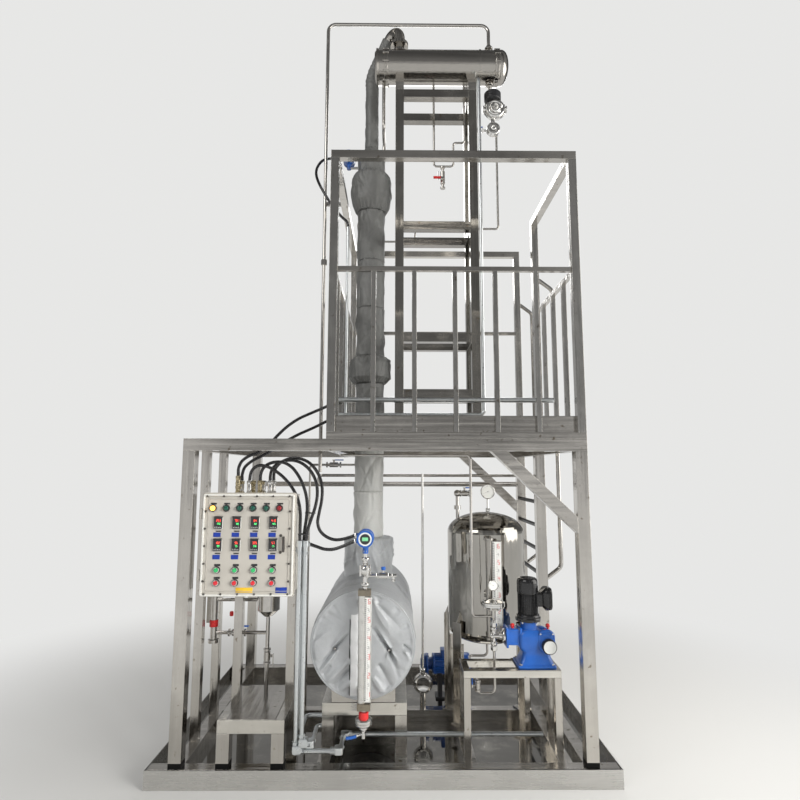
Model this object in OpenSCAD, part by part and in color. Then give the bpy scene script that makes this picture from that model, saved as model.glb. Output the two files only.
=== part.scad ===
// Distillation column on a skid: a horizontal still, an insulated column, a platform with a
// condenser tower, a receiver, a dosing pump and a control panel. Millimetres, +Z up, +X to the
// right and -Y to the front. The origin is the middle of the underside of the drip tray.

/* [Skid] */
// Width of the drip tray, left to right
skid_w = 2600; // [2580:5:2700]
// Depth of the drip tray, front to back
skid_d = 1700; // [1680:5:1760]
// Height of the tray's upstand
tray_h = 100; // [90:1:120]
// Sheet thickness of the tray
tray_t = 4; // [2:0.5:6]

/* [Main frame] */
// Side of the square tube of the frame and the stands
tube = 70; // [60:1:76]
// Distance between the post centres across the front
post_span = 2282; // [2260:2:2300]
// Height of the top of the main beams
beam_top = 1896; // [1860:2:1960]
// Side of the two light uprights on the left
light_tube = 50; // [40:1:60]
// Run of a corner brace along the beam
brace_run = 494; // [440:2:540]

/* [Platform] */
// Distance from the centre to the platform's left edge
deck_left = 349; // [340:1:380]
// Height of the platform's edge tube
edge_h = 40; // [30:1:50]
// Height of the guard rail above the platform
rail_h = 1757; // [1700:1:1800]
// Height of the top of the middle rail above the platform
mid_h = 1010; // [960:1:1060]
// Side of the guard rail's posts and top rail
rail_tube = 50; // [40:1:56]
// Side of the middle rail and of the balusters
bar = 28; // [20:1:34]
// Height of the toe boards
toe_h = 100; // [80:1:140]

/* [Condenser tower] */
// Left face of the tower
tower_x = 50; // [40:1:60]
// Width of the tower
tower_w = 590; // [560:1:610]
// Depth of the tower
tower_d = 340; // [320:1:360]
// Side of the tower's tubes
tower_tube = 60; // [50:1:66]
// Height of the top of the tower
tower_top = 4473; // [4440:1:4500]

/* [Condenser] */
// Outer diameter of the condenser shell
cond_d = 276; // [260:1:290]
// Length of the shell between its flanges
cond_l = 880; // [860:2:900]
// Thickness of a condenser flange
flange_t = 22; // [16:1:28]

/* [Column] */
// Distance of the column's axis to the left of the centre
col_left = 139; // [136:1:141]
// Diameter of the insulated column
col_d = 214; // [200:1:230]
// Height of the top of the insulated column
col_top = 4150; // [4130:1:4170]
// Diameter of the jackets over the column's flanges
jacket_d = 316; // [290:1:318]
// Diameter of the insulated vapour pipe
vapour_d = 108; // [96:1:116]

/* [Still] */
// Diameter of the insulated still
still_d = 620; // [590:1:640]
// Length of the insulated still
still_l = 1200; // [1150:2:1250]
// Diameter of the wrap round the column's foot
collar_d = 410; // [390:1:430]
// Height of the top of the still's stand
still_top = 342; // [330:1:356]
// Height of the saddles under the still
saddle_h = 55; // [45:1:70]

/* [Receiver] */
// Outer diameter of the receiver
tank_d = 524; // [500:1:540]
// Height of the receiver's straight shell
tank_h = 578; // [550:1:600]
// Height of the lower seam above the floor
tank_z = 693; // [680:1:710]
// Wall of the pressure vessels
vessel_t = 4; // [3:0.5:6]

/* [Dosing pump] */
// Side of the pump stand's tubes
pump_tube = 40; // [34:1:46]
// Height of the top of the pump stand
pump_top = 545; // [520:1:560]
// Diameter of the dosing pump's motor
motor_d = 125; // [110:1:135]
// Height of the dosing pump's motor
motor_h = 240; // [220:1:260]

/* [Control panel] */
// Width of the control panel
panel_w = 540; // [520:2:560]
// Height of the control panel
panel_h = 586; // [560:2:610]
// Depth of the control panel's box
panel_d = 170; // [150:1:180]
// Height of the panel's lower edge
panel_z = 996; // [980:1:1020]

/* [Pipes] */
// Outer diameter of the vent pipe, the conduits and the riser
pipe_d = 25; // [20:1:28]
// Outer diameter of the thin process tubes
thin_d = 16; // [12:1:18]
// Outer diameter of the ladder's hand rails
hand_d = 32; // [26:1:36]
// Distance between two rungs
rung_step = 176; // [170:1:180]

/* [Hidden] */
$fn = 64;
weld = 0.3;

front = -skid_d / 2;
floor_z = tray_h - tube;
gap_in = 10;
post_x = post_span / 2;
post_y = -front - gap_in - tube / 2;
half = tube / 2;
deck_z = beam_top + edge_h;
deck_x0 = -deck_left;
deck_x1 = post_x + half;
deck_y0 = -post_y - half;
deck_y1 = post_y + half;
rail_z = deck_z + rail_h;
mid_z = deck_z + mid_h;
gate_y = 145;
tower_y = tower_d / 2 - 332;
cond_z = tower_top + 169 + cond_d / 2;
cond_x = -80;
col_x = -col_left;
col_y = 80;
still_x = -131;
still_y0 = front + 150;
still_z = still_top + saddle_h + still_d / 2;
collar_x = col_x + 27;
collar_z = still_z + 528;
tank_x = 682;
tank_y = -130;
stand_y = front + 270;
panel_x = -1060;
panel_y = front + 280;
rack_x = [-918, -549 - light_tube];
left_top = 353;
pump_x = [460, 1035];
pump_y = [-650, -430];
nozzle_x = 77;
drain_x = cond_x + cond_l - 35;
steel = [0.72, 0.71, 0.68];
jacket = [0.66, 0.67, 0.69];

function unit(v) = v / norm(v);
function turn(a, b, c) = acos(unit(b - a) * unit(c - b));
function trim(p, i, r) = r * tan(turn(p[i - 1], p[i], p[i + 1]) / 2);

// A block given by its two corners.
module block(a, b) {
    translate(a) cube(b - a);
}

// A round bar from one point to another.
module rod(a, b, d) {
    u = unit(b - a);
    translate(a) rotate([0, acos(u.z), atan2(u.y, u.x)]) cylinder(d = d, h = norm(b - a));
}

// One bend of a pipe, a piece of a ring in the plane of its two straights.
module bend(a, b, c, d, r) {
    u = unit(b - a);
    z = unit(cross(u, unit(c - b)));
    w = cross(z, u);
    s = b - u * r * tan(turn(a, b, c) / 2) + w * r;
    multmatrix([[-w.x, u.x, z.x, s.x], [-w.y, u.y, z.y, s.y], [-w.z, u.z, z.z, s.z], [0, 0, 0, 1]])
        rotate_extrude(angle = turn(a, b, c)) translate([r, 0]) circle(d = d);
}

// A bent pipe through the points p.
module pipe(p, d, r = 40) {
    n = len(p) - 1;
    union() {
        for (i = [0 : n - 1]) {
            u = unit(p[i + 1] - p[i]);
            a = i == 0 ? 0 : trim(p, i, r);
            b = i == n - 1 ? 0 : trim(p, i + 1, r);
            rod(p[i] + u * a, p[i + 1] - u * b, d);
        }
        if (n > 1)
            for (i = [1 : n - 1]) bend(p[i - 1], p[i], p[i + 1], d, r);
    }
}

// The directions along a route, and one side of each that turns as little as it can.
function along(p) = [for (i = [0 : len(p) - 1])
    unit(p[min(i + 1, len(p) - 1)] - p[max(i - 1, 0)])];
function start_side(u) = unit(cross(u, abs(u.y) > 0.9 ? [1, 0, 0] : [0, 1, 0]));
function sides(t, i) = i == 0 ? [start_side(t[0])]
    : let (s = sides(t, i - 1), q = s[i - 1]) concat(s, [unit(q - t[i] * (q * t[i]))]);

// A tube swept along the route p, a ring of m points at each point of it.
module sweep(p, d, m = 8) {
    n = len(p);
    t = along(p);
    side = sides(t, n - 1);
    pts = [for (i = [0 : n - 1], k = [0 : m - 1])
        p[i] + d / 2 * (cos(360 * k / m) * side[i] + sin(360 * k / m) * cross(t[i], side[i]))];
    faces = concat(
        [[for (k = [0 : m - 1]) k]],
        [for (i = [0 : n - 2], k = [0 : m - 1])
            [i * m + k, i * m + m + k, i * m + m + (k + 1) % m, i * m + (k + 1) % m]],
        [[for (k = [m - 1 : -1 : 0]) (n - 1) * m + k]]);
    polyhedron(pts, faces, convexity = 6);
}

// The points of a rounded corner at b between a and c.
function corner(a, b, c, r, n = 6) =
    let (u = unit(b - a), v = unit(c - b), g = turn(a, b, c), w = cross(unit(cross(u, v)), u),
        s = b - u * r * tan(g / 2))
    [for (i = [0 : n]) s + r * (sin(g * i / n) * u + (1 - cos(g * i / n)) * w)];

// A tank end: a straight skirt and a half ellipse, hollow, turned round the Z axis.
module head(d, h, t) {
    n = 14;
    skirt = 25;
    rotate_extrude() polygon(concat(
        [[d / 2 - t, 0], [d / 2, 0]],
        [for (i = [0 : n]) [d / 2 * cos(90 * i / n), skirt + h * sin(90 * i / n)]],
        [for (i = [n : -1 : 0]) [(d / 2 - t) * cos(90 * i / n), skirt + (h - t) * sin(90 * i / n)]]));
}

// A ball valve along X with clamped ends and a lever above it.
module ball_valve(l, d, lever) {
    rotate([0, 90, 0]) {
        translate([0, 0, -l / 2]) cylinder(d = d, h = l);
        translate([0, 0, -l * 0.28]) cylinder(d = d * 1.7, h = l * 0.56);
        for (s = [-1, 1]) translate([0, 0, s * (l / 2 - 5) - 5]) cylinder(d = d * 1.9, h = 10);
    }
    cylinder(d = d * 0.7, h = d * 1.5);
    translate([-d * 0.5, -d * 0.4, d * 1.5]) cube([lever, d * 0.8, 5]);
}

// Skid

module tray_floor() {
    color(steel) {
        block([-skid_w / 2 + tray_t, front + tray_t, floor_z - tray_t],
            [skid_w / 2 - tray_t, -front - tray_t, floor_z]);
        for (x = [-900, -450, 0, 450, 900])
            block([x - 40, front + tray_t, 0], [x + 40, -front - tray_t, floor_z - tray_t]);
    }
}

module tray_walls() {
    color(steel) for (s = [0, 1]) {
        mirror([0, s, 0])
            block([-skid_w / 2, front, 0], [skid_w / 2, front + tray_t, tray_h]);
        mirror([s, 0, 0])
            block([-skid_w / 2, front + tray_t + weld, 0],
                [-skid_w / 2 + tray_t, -front - tray_t - weld, tray_h]);
    }
}

module base_rails() {
    cross_y = -39;
    end_x = skid_w / 2 - tray_t - 6;
    color(steel) {
        for (y = [-post_y, cross_y, post_y])
            block([y == cross_y ? -post_x - half : -end_x, y - half, floor_z],
                [y == cross_y ? post_x + half : end_x, y + half, tray_h]);
        for (x = [-post_x, still_side[0] + half, still_side[1] + half, pump_x[0] + pump_tube / 2,
            pump_x[1] - pump_tube / 2, post_x])
            block([x - half, -post_y + half + weld, floor_z], [x + half, cross_y - half - weld, tray_h]);
        for (x = [-post_x, still_side[0] + half, still_side[1] + half, post_x])
            block([x - half, cross_y + half + weld, floor_z], [x + half, post_y - half - weld, tray_h]);
    }
}

module posts() {
    color(steel) {
        for (x = [-post_x, post_x], y = [-post_y, post_y])
            block([x - half, y - half, tray_h], [x + half, y + half, beam_top - tube]);
        block([post_x - half, gate_y - 25, tray_h], [post_x + half, gate_y - 25 + tube, beam_top - tube]);
        for (y = [front + 360, front + 720])
            block([-post_x - half, y - light_tube / 2, tray_h],
                [-post_x - half + light_tube, y + light_tube / 2, beam_top - tube]);
    }
}

module main_beams() {
    z = beam_top - tube;
    color(steel) {
        for (y = [-post_y, post_y])
            block([-post_x - half, y - half, z], [post_x + half, y + half, beam_top]);
        for (x = [-post_x, deck_x0 + half, post_x])
            block([x - half, -post_y + half + weld, z], [x + half, post_y - half - weld, beam_top]);
    }
}

module braces() {
    x1 = post_x - half;
    z1 = beam_top - tube;
    color(steel) {
        for (y = [-post_y, post_y])
            translate([0, y + half, 0]) rotate([90, 0, 0]) linear_extrude(tube)
                polygon([[x1 - brace_run, z1], [x1, z1 - brace_run * 0.957],
                    [x1, z1 - brace_run * 0.957 + tube * 1.36], [x1 - brace_run + tube * 1.38, z1]]);
        block([-x1, post_y - half, z1 - 249], [x1, post_y - half + 40, z1 - 209]);
    }
}

// Platform

module deck() {
    color(steel) difference() {
        union() {
            block([deck_x0 + rail_tube, deck_y0 + rail_tube, deck_z - tray_t],
                [deck_x1 - rail_tube, deck_y1 - rail_tube, deck_z]);
            for (x = [120, 420, 760])
                block([x - 20, deck_y0 + rail_tube, beam_top],
                    [x + 20, deck_y1 - rail_tube, deck_z - tray_t]);
        }
        translate([col_x, col_y, deck_z - 60]) cylinder(d = col_d + 26, h = 100);
    }
}

module deck_edge() {
    color(steel) {
        for (y = [deck_y0, deck_y1 - rail_tube])
            block([deck_x0, y, beam_top], [deck_x1, y + rail_tube, deck_z]);
        for (x = [deck_x0, deck_x1 - rail_tube])
            block([x, deck_y0 + rail_tube + weld, beam_top],
                [x + rail_tube, deck_y1 - rail_tube - weld, deck_z]);
    }
}

module toe_boards() {
    t = 4;
    in = rail_tube / 2 + bar / 2;
    color(steel) {
        block([deck_x0 + rail_tube, deck_y0 + in, deck_z],
            [deck_x1 - rail_tube, deck_y0 + in + t, deck_z + toe_h]);
        block([deck_x0 + rail_tube, deck_y1 - in - t, deck_z],
            [deck_x1 - rail_tube, deck_y1 - in, deck_z + toe_h]);
        block([deck_x0 + in, deck_y0 + rail_tube, deck_z],
            [deck_x0 + in + t, deck_y1 - rail_tube, deck_z + toe_h]);
        block([deck_x1 - in - t, deck_y0 + rail_tube, deck_z],
            [deck_x1 - in, gate_y - rail_tube / 2, deck_z + toe_h]);
    }
}

module rail_posts() {
    color(steel) {
        for (x = [deck_x0, deck_x1 - rail_tube], y = [deck_y0, deck_y1 - rail_tube])
            block([x, y, deck_z], [x + rail_tube, y + rail_tube, rail_z - rail_tube]);
        block([deck_x1 - rail_tube, gate_y - rail_tube / 2, deck_z],
            [deck_x1, gate_y + rail_tube / 2, rail_z - rail_tube]);
    }
}

module top_rails() {
    z = rail_z - rail_tube;
    color(steel) {
        for (y = [deck_y0, deck_y1 - rail_tube])
            block([deck_x0, y, z], [deck_x1, y + rail_tube, rail_z]);
        for (x = [deck_x0, deck_x1 - rail_tube])
            block([x, deck_y0 + rail_tube + weld, z],
                [x + rail_tube, x < 0 ? deck_y1 - rail_tube - weld : gate_y + rail_tube / 2, rail_z]);
    }
}

module mid_rails() {
    z = mid_z - bar;
    c = (rail_tube - bar) / 2;
    color(steel) {
        for (y = [deck_y0 + c, deck_y1 - rail_tube + c])
            block([deck_x0 + rail_tube, y, z], [deck_x1 - rail_tube, y + bar, mid_z]);
        block([deck_x0 + c, deck_y0 + rail_tube, z],
            [deck_x0 + c + bar, deck_y1 - rail_tube, mid_z]);
        block([deck_x1 - c - bar, deck_y0 + rail_tube, z],
            [deck_x1 - c, gate_y - rail_tube / 2, mid_z]);
    }
}

module balusters() {
    c = (rail_tube - bar) / 2;
    span = deck_x1 - deck_x0 - rail_tube;
    deep = deck_y1 - deck_y0 - rail_tube;
    color(steel) {
        for (i = [1 : 5])
            translate([deck_x0 + c + span * i / 6, deck_y0 + c, deck_z]) cube([bar, bar, mid_h - bar]);
        for (i = [1 : 5])
            translate([deck_x0 + c, deck_y0 + c + deep * i / 6, deck_z]) cube([bar, bar, mid_h - bar]);
        for (i = [1 : 3])
            translate([deck_x1 - c - bar, deck_y0 + c + (gate_y - deck_y0) * i / 4, deck_z])
                cube([bar, bar, mid_h - bar]);
    }
}

// Condenser tower

module tower_uprights() {
    color(steel)
        for (x = [tower_x, tower_x + tower_w - tower_tube], s = [-1, 1])
            translate([x, tower_y + s * (tower_d - tower_tube) / 2 - tower_tube / 2, deck_z])
                cube([tower_tube, tower_tube, tower_top - deck_z]);
}

module tower_bars() {
    levels = [tower_top, tower_top - 1010, tower_top - 1820, tower_top - 2210];
    color(steel) for (z = levels) {
        for (s = [-1, 1])
            translate([tower_x + tower_tube, tower_y + s * (tower_d - tower_tube) / 2 - tower_tube / 2,
                z - tower_tube])
                cube([tower_w - 2 * tower_tube, tower_tube, tower_tube]);
        for (x = [tower_x, tower_x + tower_w - tower_tube])
            translate([x, tower_y - tower_d / 2 + tower_tube, z - tower_tube])
                cube([tower_tube, tower_d - 2 * tower_tube, tower_tube]);
    }
}

module condenser_shell() {
    color("silver") difference() {
        union() {
            translate([cond_x, tower_y, cond_z]) rotate([0, 90, 0]) cylinder(d = cond_d, h = cond_l);
            translate([nozzle_x, tower_y, cond_z]) cylinder(d = 76, h = cond_d / 2 + 27);
            translate([drain_x, tower_y, cond_z]) cylinder(d = 38, h = cond_d / 2 + 40);
            translate([drain_x, tower_y, cond_z - cond_d / 2 - 20]) cylinder(d = 38, h = cond_d / 2);
            for (x = [cond_x + 110, cond_x + cond_l - 130])
                translate([x, tower_y, cond_z]) rotate([0, 90, 0]) cylinder(d = cond_d + 8, h = 24);
        }
        translate([cond_x - 1, tower_y, cond_z]) rotate([0, 90, 0])
            cylinder(d = cond_d - 2 * vessel_t, h = cond_l + 2);
        translate([nozzle_x, tower_y, cond_z]) cylinder(d = 76 - 2 * vessel_t, h = cond_d);
        translate([drain_x, tower_y, cond_z]) cylinder(d = 38 - 2 * vessel_t, h = cond_d);
    }
}

module condenser_ends() {
    color("silver") {
        translate([cond_x, tower_y, cond_z]) rotate([0, -90, 0]) {
            cylinder(d = cond_d + 12, h = flange_t);
            cylinder(d = cond_d - 40, h = flange_t + 8);
            for (i = [0 : 7]) rotate(45 * i + 22.5) translate([cond_d / 2 + 2, 0, 0])
                cylinder(d = 16, h = flange_t + 10, $fn = 6);
        }
        translate([cond_x + cond_l, tower_y, cond_z]) rotate([0, 90, 0]) {
            cylinder(d = cond_d + 18, h = flange_t * 1.6);
            translate([0, 0, flange_t * 1.6]) head(cond_d, 55, vessel_t);
            for (i = [0 : 7]) rotate(45 * i + 22.5) translate([cond_d / 2 + 2, 0, 0])
                cylinder(d = 16, h = flange_t * 1.6 + 10, $fn = 6);
        }
    }
}

module condenser_saddles() {
    color(steel) difference() {
        for (x = [tower_x, tower_x + tower_w - tower_tube])
            translate([x, tower_y, tower_top]) rotate([90, 0, 90]) linear_extrude(tower_tube)
                polygon([[-tower_d / 2, 0], [tower_d / 2, 0], [tower_d / 2, 60], [cond_d * 0.42, 226],
                    [-cond_d * 0.42, 226], [-tower_d / 2, 60]]);
        translate([cond_x + 4, tower_y, cond_z]) rotate([0, 90, 0]) cylinder(d = cond_d, h = cond_l);
    }
}

// Column

low_jacket = [col_top - 1792, col_top - 1587];
top_jacket = [col_top - 442, col_top - 122];

module column() {
    color(jacket) translate([col_x, col_y, 0]) {
        translate([0, 0, collar_z]) cylinder(d = col_d, h = low_jacket[0] - collar_z);
        translate([0, 0, low_jacket[1]]) cylinder(d = col_d, h = top_jacket[0] - low_jacket[1]);
        rotate_extrude() polygon([[0, top_jacket[1]], [col_d / 2, top_jacket[1]],
            [col_d / 2, col_top], [vapour_d / 2, col_top + 96], [0, col_top + 96]]);
    }
}

module flange_jackets() {
    r = jacket_d / 2;
    q = col_d / 2;
    color(jacket) translate([col_x, col_y, 0]) {
        translate([0, 0, low_jacket[0]]) rotate_extrude() polygon([[0, 0], [q + 12, 0], [r, 42],
            [r, 150], [r - 12, 182], [q + 14, 205], [0, 205]]);
        translate([0, 0, top_jacket[0]]) rotate_extrude() polygon([[0, 0], [q + 8, 0], [q + 20, 24],
            [r - 6, 70], [r, 96], [r, 250], [r - 10, 285], [q + 18, 320], [0, 320]]);
    }
}

elbow_v = [nozzle_x, tower_y, cond_z + 400];
vapour_b = [col_x, col_y, col_top + 720];
elbow_r = 70;
elbow_d = 84;
elbow_t = elbow_r * tan((180 - acos(unit(elbow_v - vapour_b).z)) / 2);
vapour_e = elbow_v - unit(elbow_v - vapour_b) * elbow_t;

module vapour_line() {
    low = [col_x, col_y, col_top + 96];
    color(jacket) sweep(concat([low], corner(low, vapour_b, vapour_e, 120, 8), [vapour_e]),
        vapour_d, 28);
}

module vapour_elbow() {
    low = cond_z + cond_d / 2 + 27;
    color("silver") {
        bend(vapour_b, elbow_v, [nozzle_x, tower_y, low], elbow_d, elbow_r);
        translate([nozzle_x, tower_y, low]) cylinder(d = elbow_d, h = elbow_v.z - elbow_t - low);
        translate([nozzle_x, tower_y, low]) cylinder(d = 136, h = 24);
    }
}

// Still

module still_body() {
    r = still_d / 2;
    color(jacket) translate([still_x, still_y0, still_z]) rotate([-90, 0, 0]) rotate_extrude()
        polygon([[0, 0], [r - 18, 0], [r - 5, 5], [r, 18], [r, still_l - 18], [r - 5, still_l - 5],
            [r - 18, still_l], [0, still_l]]);
}

module still_collar() {
    r = collar_d / 2;
    color(jacket) difference() {
        translate([collar_x, col_y, 0]) rotate_extrude()
            polygon([[0, still_z], [r - 4, still_z], [r, collar_z - 70], [r - 12, collar_z - 20],
                [r - 45, collar_z], [0, collar_z]]);
        translate([still_x, still_y0 - 10, still_z]) rotate([-90, 0, 0])
            cylinder(d = still_d, h = still_l + 20);
    }
}

module still_saddles() {
    color(steel) difference() {
        for (y = [stand_y + half, stand_y + 930 - half])
            block([still_x - 190, y - 30, still_top], [still_x + 190, y + 30, still_top + saddle_h + 68]);
        translate([still_x, still_y0 - 10, still_z]) rotate([-90, 0, 0])
            cylinder(d = still_d, h = still_l + 20);
    }
}

// Stands

still_side = [-376, 128 - tube];
left_side = [-918, -549 - tube];
left_y = [deck_y0, front + 510 - tube];

module stand_legs() {
    color(steel) {
        for (x = still_side, y = [stand_y, stand_y + 930 - tube])
            block([x, y, tray_h], [x + tube, y + tube, still_top - tube]);
        for (x = left_side, i = [0, 1])
            block([x, left_y[i], i == 0 ? tray_h : floor_z], [x + tube, left_y[i] + tube, left_top - tube]);
        for (x = [pump_x[0], pump_x[1] - pump_tube], y = [pump_y[0], pump_y[1] - pump_tube])
            block([x, y, tray_h], [x + pump_tube, y + pump_tube, pump_top - pump_tube]);
    }
}

module stand_beams() {
    color(steel) {
        for (y = [stand_y, stand_y + 930 - tube])
            block([still_side[0], y, still_top - tube], [still_side[1] + tube, y + tube, still_top]);
        for (x = still_side)
            block([x, stand_y + tube + weld, still_top - tube],
                [x + tube, stand_y + 930 - tube - weld, still_top]);
        for (y = left_y)
            block([left_side[0], y, left_top - tube], [left_side[1] + tube, y + tube, left_top]);
        for (x = left_side)
            block([x, left_y[0] + tube + weld, left_top - tube], [x + tube, left_y[1] - weld, left_top]);
        for (y = [pump_y[0], pump_y[1] - pump_tube])
            block([pump_x[0], y, pump_top - pump_tube], [pump_x[1], y + pump_tube, pump_top]);
        for (x = [pump_x[0], pump_x[1] - pump_tube])
            block([x, pump_y[0] + pump_tube + weld, pump_top - pump_tube],
                [x + pump_tube, pump_y[1] - pump_tube - weld, pump_top]);
    }
}

module stand_plates() {
    color(steel) {
        block([rack_x[0] + light_tube, left_y[0], left_top], [rack_x[1], left_y[1] + tube, left_top + 4]);
        block([pump_cx - 92, pump_y[0], pump_top], [pump_x[1], pump_y[1], pump_top + 4]);
    }
}

// Still's level gauge with its valves and the two transmitters

gauge_x = still_x + 15;
gauge_y = still_y0 - 84;

module level_gauge() {
    color("silver") {
        translate([gauge_x - 16, gauge_y, still_z - 287]) cylinder(d = 44, h = 587);
        block([gauge_x - 4, gauge_y - 20, still_z - 280], [gauge_x + 39, gauge_y + 4, still_z + 290]);
        block([gauge_x - 39, gauge_y - 28, still_z - 322], [gauge_x + 35, gauge_y + 26, still_z - 285]);
        block([gauge_x - 39, gauge_y - 28, still_z + 296], [gauge_x + 35, gauge_y + 26, still_z + 330]);
        for (z = [still_z - 240, still_z + 240])
            rod([gauge_x - 16, gauge_y, z], [gauge_x - 16, still_y0, z], 30);
    }
}

module gauge_valves() {
    z0 = still_z - 322;
    z1 = still_z + 330;
    color("silver") {
        translate([gauge_x - 2, gauge_y, z0 - 45]) cylinder(d = 40, h = 45);
        translate([gauge_x - 2, gauge_y, z0 - 75]) cylinder(d = 78, h = 30);
        translate([gauge_x - 2, gauge_y, z0 - 100]) cylinder(d = 50, h = 25);
        translate([gauge_x - 2, gauge_y, z0 - 150]) cylinder(d = 22, h = 50);
        translate([gauge_x - 40, gauge_y - 22, z0 - 134]) cube([70, 14, 18]);
        translate([gauge_x, gauge_y, z1]) cylinder(d = 26, h = 200);
        translate([gauge_x, gauge_y, z1 + 18]) cylinder(d = 50, h = 18);
        translate([gauge_x, gauge_y, z1 + 160]) cylinder(d = 50, h = 18);
        translate([gauge_x, gauge_y, z1 + 105]) sphere(d = 62);
        translate([gauge_x + 75, gauge_y, z1 + 95]) ball_valve(90, 22, 90);
        rod([gauge_x, gauge_y, z1 + 95], [gauge_x + 50, gauge_y, z1 + 95], 22);
    }
}

// One transmitter: a neck, a round housing that looks to the front, its cover and its glands.
module transmitter() {
    cylinder(d = 34, h = 44);
    translate([0, 40, 86]) rotate([90, 0, 0]) cylinder(d = 92, h = 80);
    translate([0, -40, 86]) rotate([90, 0, 0]) cylinder(d = 98, h = 22);
    translate([0, 40, 86]) rotate([-90, 0, 0]) cylinder(d = 98, h = 18);
    for (z = [72, 100])
        translate([-62, z == 72 ? -20 : 20, z]) rotate([0, 90, 0]) cylinder(d = 26, h = 40);
}

tx2_x = col_x - col_d / 2 - 72;
tx2_z = col_top + 15;

module transmitters() {
    color("royalblue") {
        translate([gauge_x, gauge_y, still_z + 530]) transmitter();
        translate([tx2_x, col_y, tx2_z - 86]) transmitter();
        rod([tx2_x, col_y, tx2_z - 75], [tx2_x + 72, col_y, tx2_z - 75], 22);
    }
}

// Receiver

module receiver_shell() {
    color("silver") translate([tank_x, tank_y, tank_z]) difference() {
        cylinder(d = tank_d, h = tank_h);
        translate([0, 0, -1]) cylinder(d = tank_d - 2 * vessel_t, h = tank_h + 2);
    }
}

module receiver_heads() {
    color("silver") translate([tank_x, tank_y, 0]) {
        translate([0, 0, tank_z + tank_h]) head(tank_d, tank_d / 4, vessel_t);
        translate([0, 0, tank_z]) mirror([0, 0, 1]) head(tank_d, tank_d * 0.19, vessel_t);
    }
}

module receiver_legs() {
    r = tank_d / 2;
    color(steel) for (leg = [[20.3, tray_h], [159.7, tray_h], [219.6, tray_h], [320, floor_z]])
        translate([tank_x, tank_y, 0]) rotate(leg[0]) difference() {
            union() {
                rotate([90, 0, 0]) linear_extrude(8, center = true)
                    polygon([[r - 30, leg[1]], [r + 30, leg[1]], [r + 30, tank_z + 40],
                        [r - 2, tank_z + 110], [r - 30, tank_z + 110]]);
                block([r + 24, -35, leg[1]], [r + 30, 35, tank_z + 40]);
                block([r - 45, -45, leg[1]], [r + 45, 45, leg[1] + 8]);
            }
            translate([0, 0, tank_z - tank_d / 5]) cylinder(d = tank_d, h = tank_d);
        }
}

module receiver_gauge() {
    y = tank_y - tank_d / 2 - 50;
    x = tank_x - 30;
    color("silver") {
        translate([x, y, tank_z - 20]) cylinder(d = 40, h = tank_h + 20);
        block([x + 16, y - 16, tank_z + 10], [x + 58, y + 2, tank_z + tank_h - 20]);
        for (z = [tank_z + 70, tank_z + tank_h - 60])
            difference() {
                rod([x, y, z], [x, tank_y, z], 28);
                translate([tank_x, tank_y, z - 20]) cylinder(d = tank_d, h = 40);
            }
        for (z = [tank_z - 28, tank_z + tank_h]) translate([x, y, z]) cylinder(d = 62, h = 14);
    }
}

// A dial gauge that looks to the front, standing on its stem.
module dial_gauge(d, stem) {
    cylinder(d = d * 0.16, h = stem + d * 0.2);
    cylinder(d = d * 0.3, h = stem * 0.4, $fn = 6);
    translate([0, d * 0.2, stem + d / 2]) rotate([90, 0, 0]) cylinder(d = d, h = d * 0.4);
}

tank_top = tank_z + tank_h + 25 + tank_d / 4;

module pressure_gauges() {
    color("white") {
        translate([tank_x + 20, tank_y, tank_top - 1]) dial_gauge(100, 90);
        translate([suction_x, pump_cy, 920]) dial_gauge(62, 60);
    }
}

// Dosing pump

pump_cx = 872;
pump_cy = -540;
base_z = pump_top + 4;

module pump_body() {
    color("mediumblue") {
        block([pump_cx - 84, pump_cy - 90, base_z], [pump_cx + 144, pump_cy + 90, base_z + 14]);
        hull() for (x = [-54, 114], y = [-62, 62])
            translate([pump_cx + x, pump_cy + y, base_z + 14]) cylinder(r = 14, h = 180, $fn = 32);
        translate([pump_cx, pump_cy, base_z + 190]) cylinder(d1 = 140, d2 = 150, h = 72);
        translate([pump_cx, pump_cy, base_z + 262]) cylinder(d = 160, h = 16);
        block([head_x, pump_cy - 55, head_z - 60], [pump_cx - 40, pump_cy + 55, head_z + 54]);
        translate([pump_cx + 100, pump_cy - 70, base_z + 170]) rotate([90, 0, 0]) cylinder(d = 60, h = 46);
    }
}

module pump_motor() {
    z = base_z + 278;
    color([0.1, 0.1, 0.11]) translate([pump_cx, pump_cy, z]) {
        cylinder(d = motor_d - 12, h = motor_h - 40);
        cylinder(d = motor_d + 14, h = 12);
        for (i = [0 : 23]) rotate(i * 15)
            translate([motor_d / 2 - 10, -1.5, 12]) cube([10, 3, motor_h - 60]);
        translate([0, 0, motor_h - 48]) cylinder(d = motor_d + 4, h = 40);
        block([motor_d / 2 - 14, -40, motor_h - 180], [motor_d / 2 + 26, 40, motor_h - 100]);
        translate([motor_d / 2 + 26, 0, motor_h - 140]) rotate([0, 90, 0]) cylinder(d = 118, h = 52);
    }
}

head_x = pump_cx - 146;
head_z = base_z + 165;
suction_x = head_x - 66;

module pump_head() {
    color("silver") {
        translate([head_x, pump_cy, head_z]) rotate([0, -90, 0]) cylinder(d = 84, h = 14);
        translate([head_x, pump_cy, head_z]) rotate([0, -90, 0]) cylinder(d = 46, h = 90);
        translate([suction_x, pump_cy, head_z - 90]) cylinder(d = 26, h = 180);
        for (z = [-86, 54]) translate([suction_x, pump_cy, head_z + z]) cylinder(d = 40, h = 28, $fn = 6);
    }
}

// Pump at the back of the skid with the riser in front of it

riser_x = 249;
riser_z = floor_z + 235;

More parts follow.
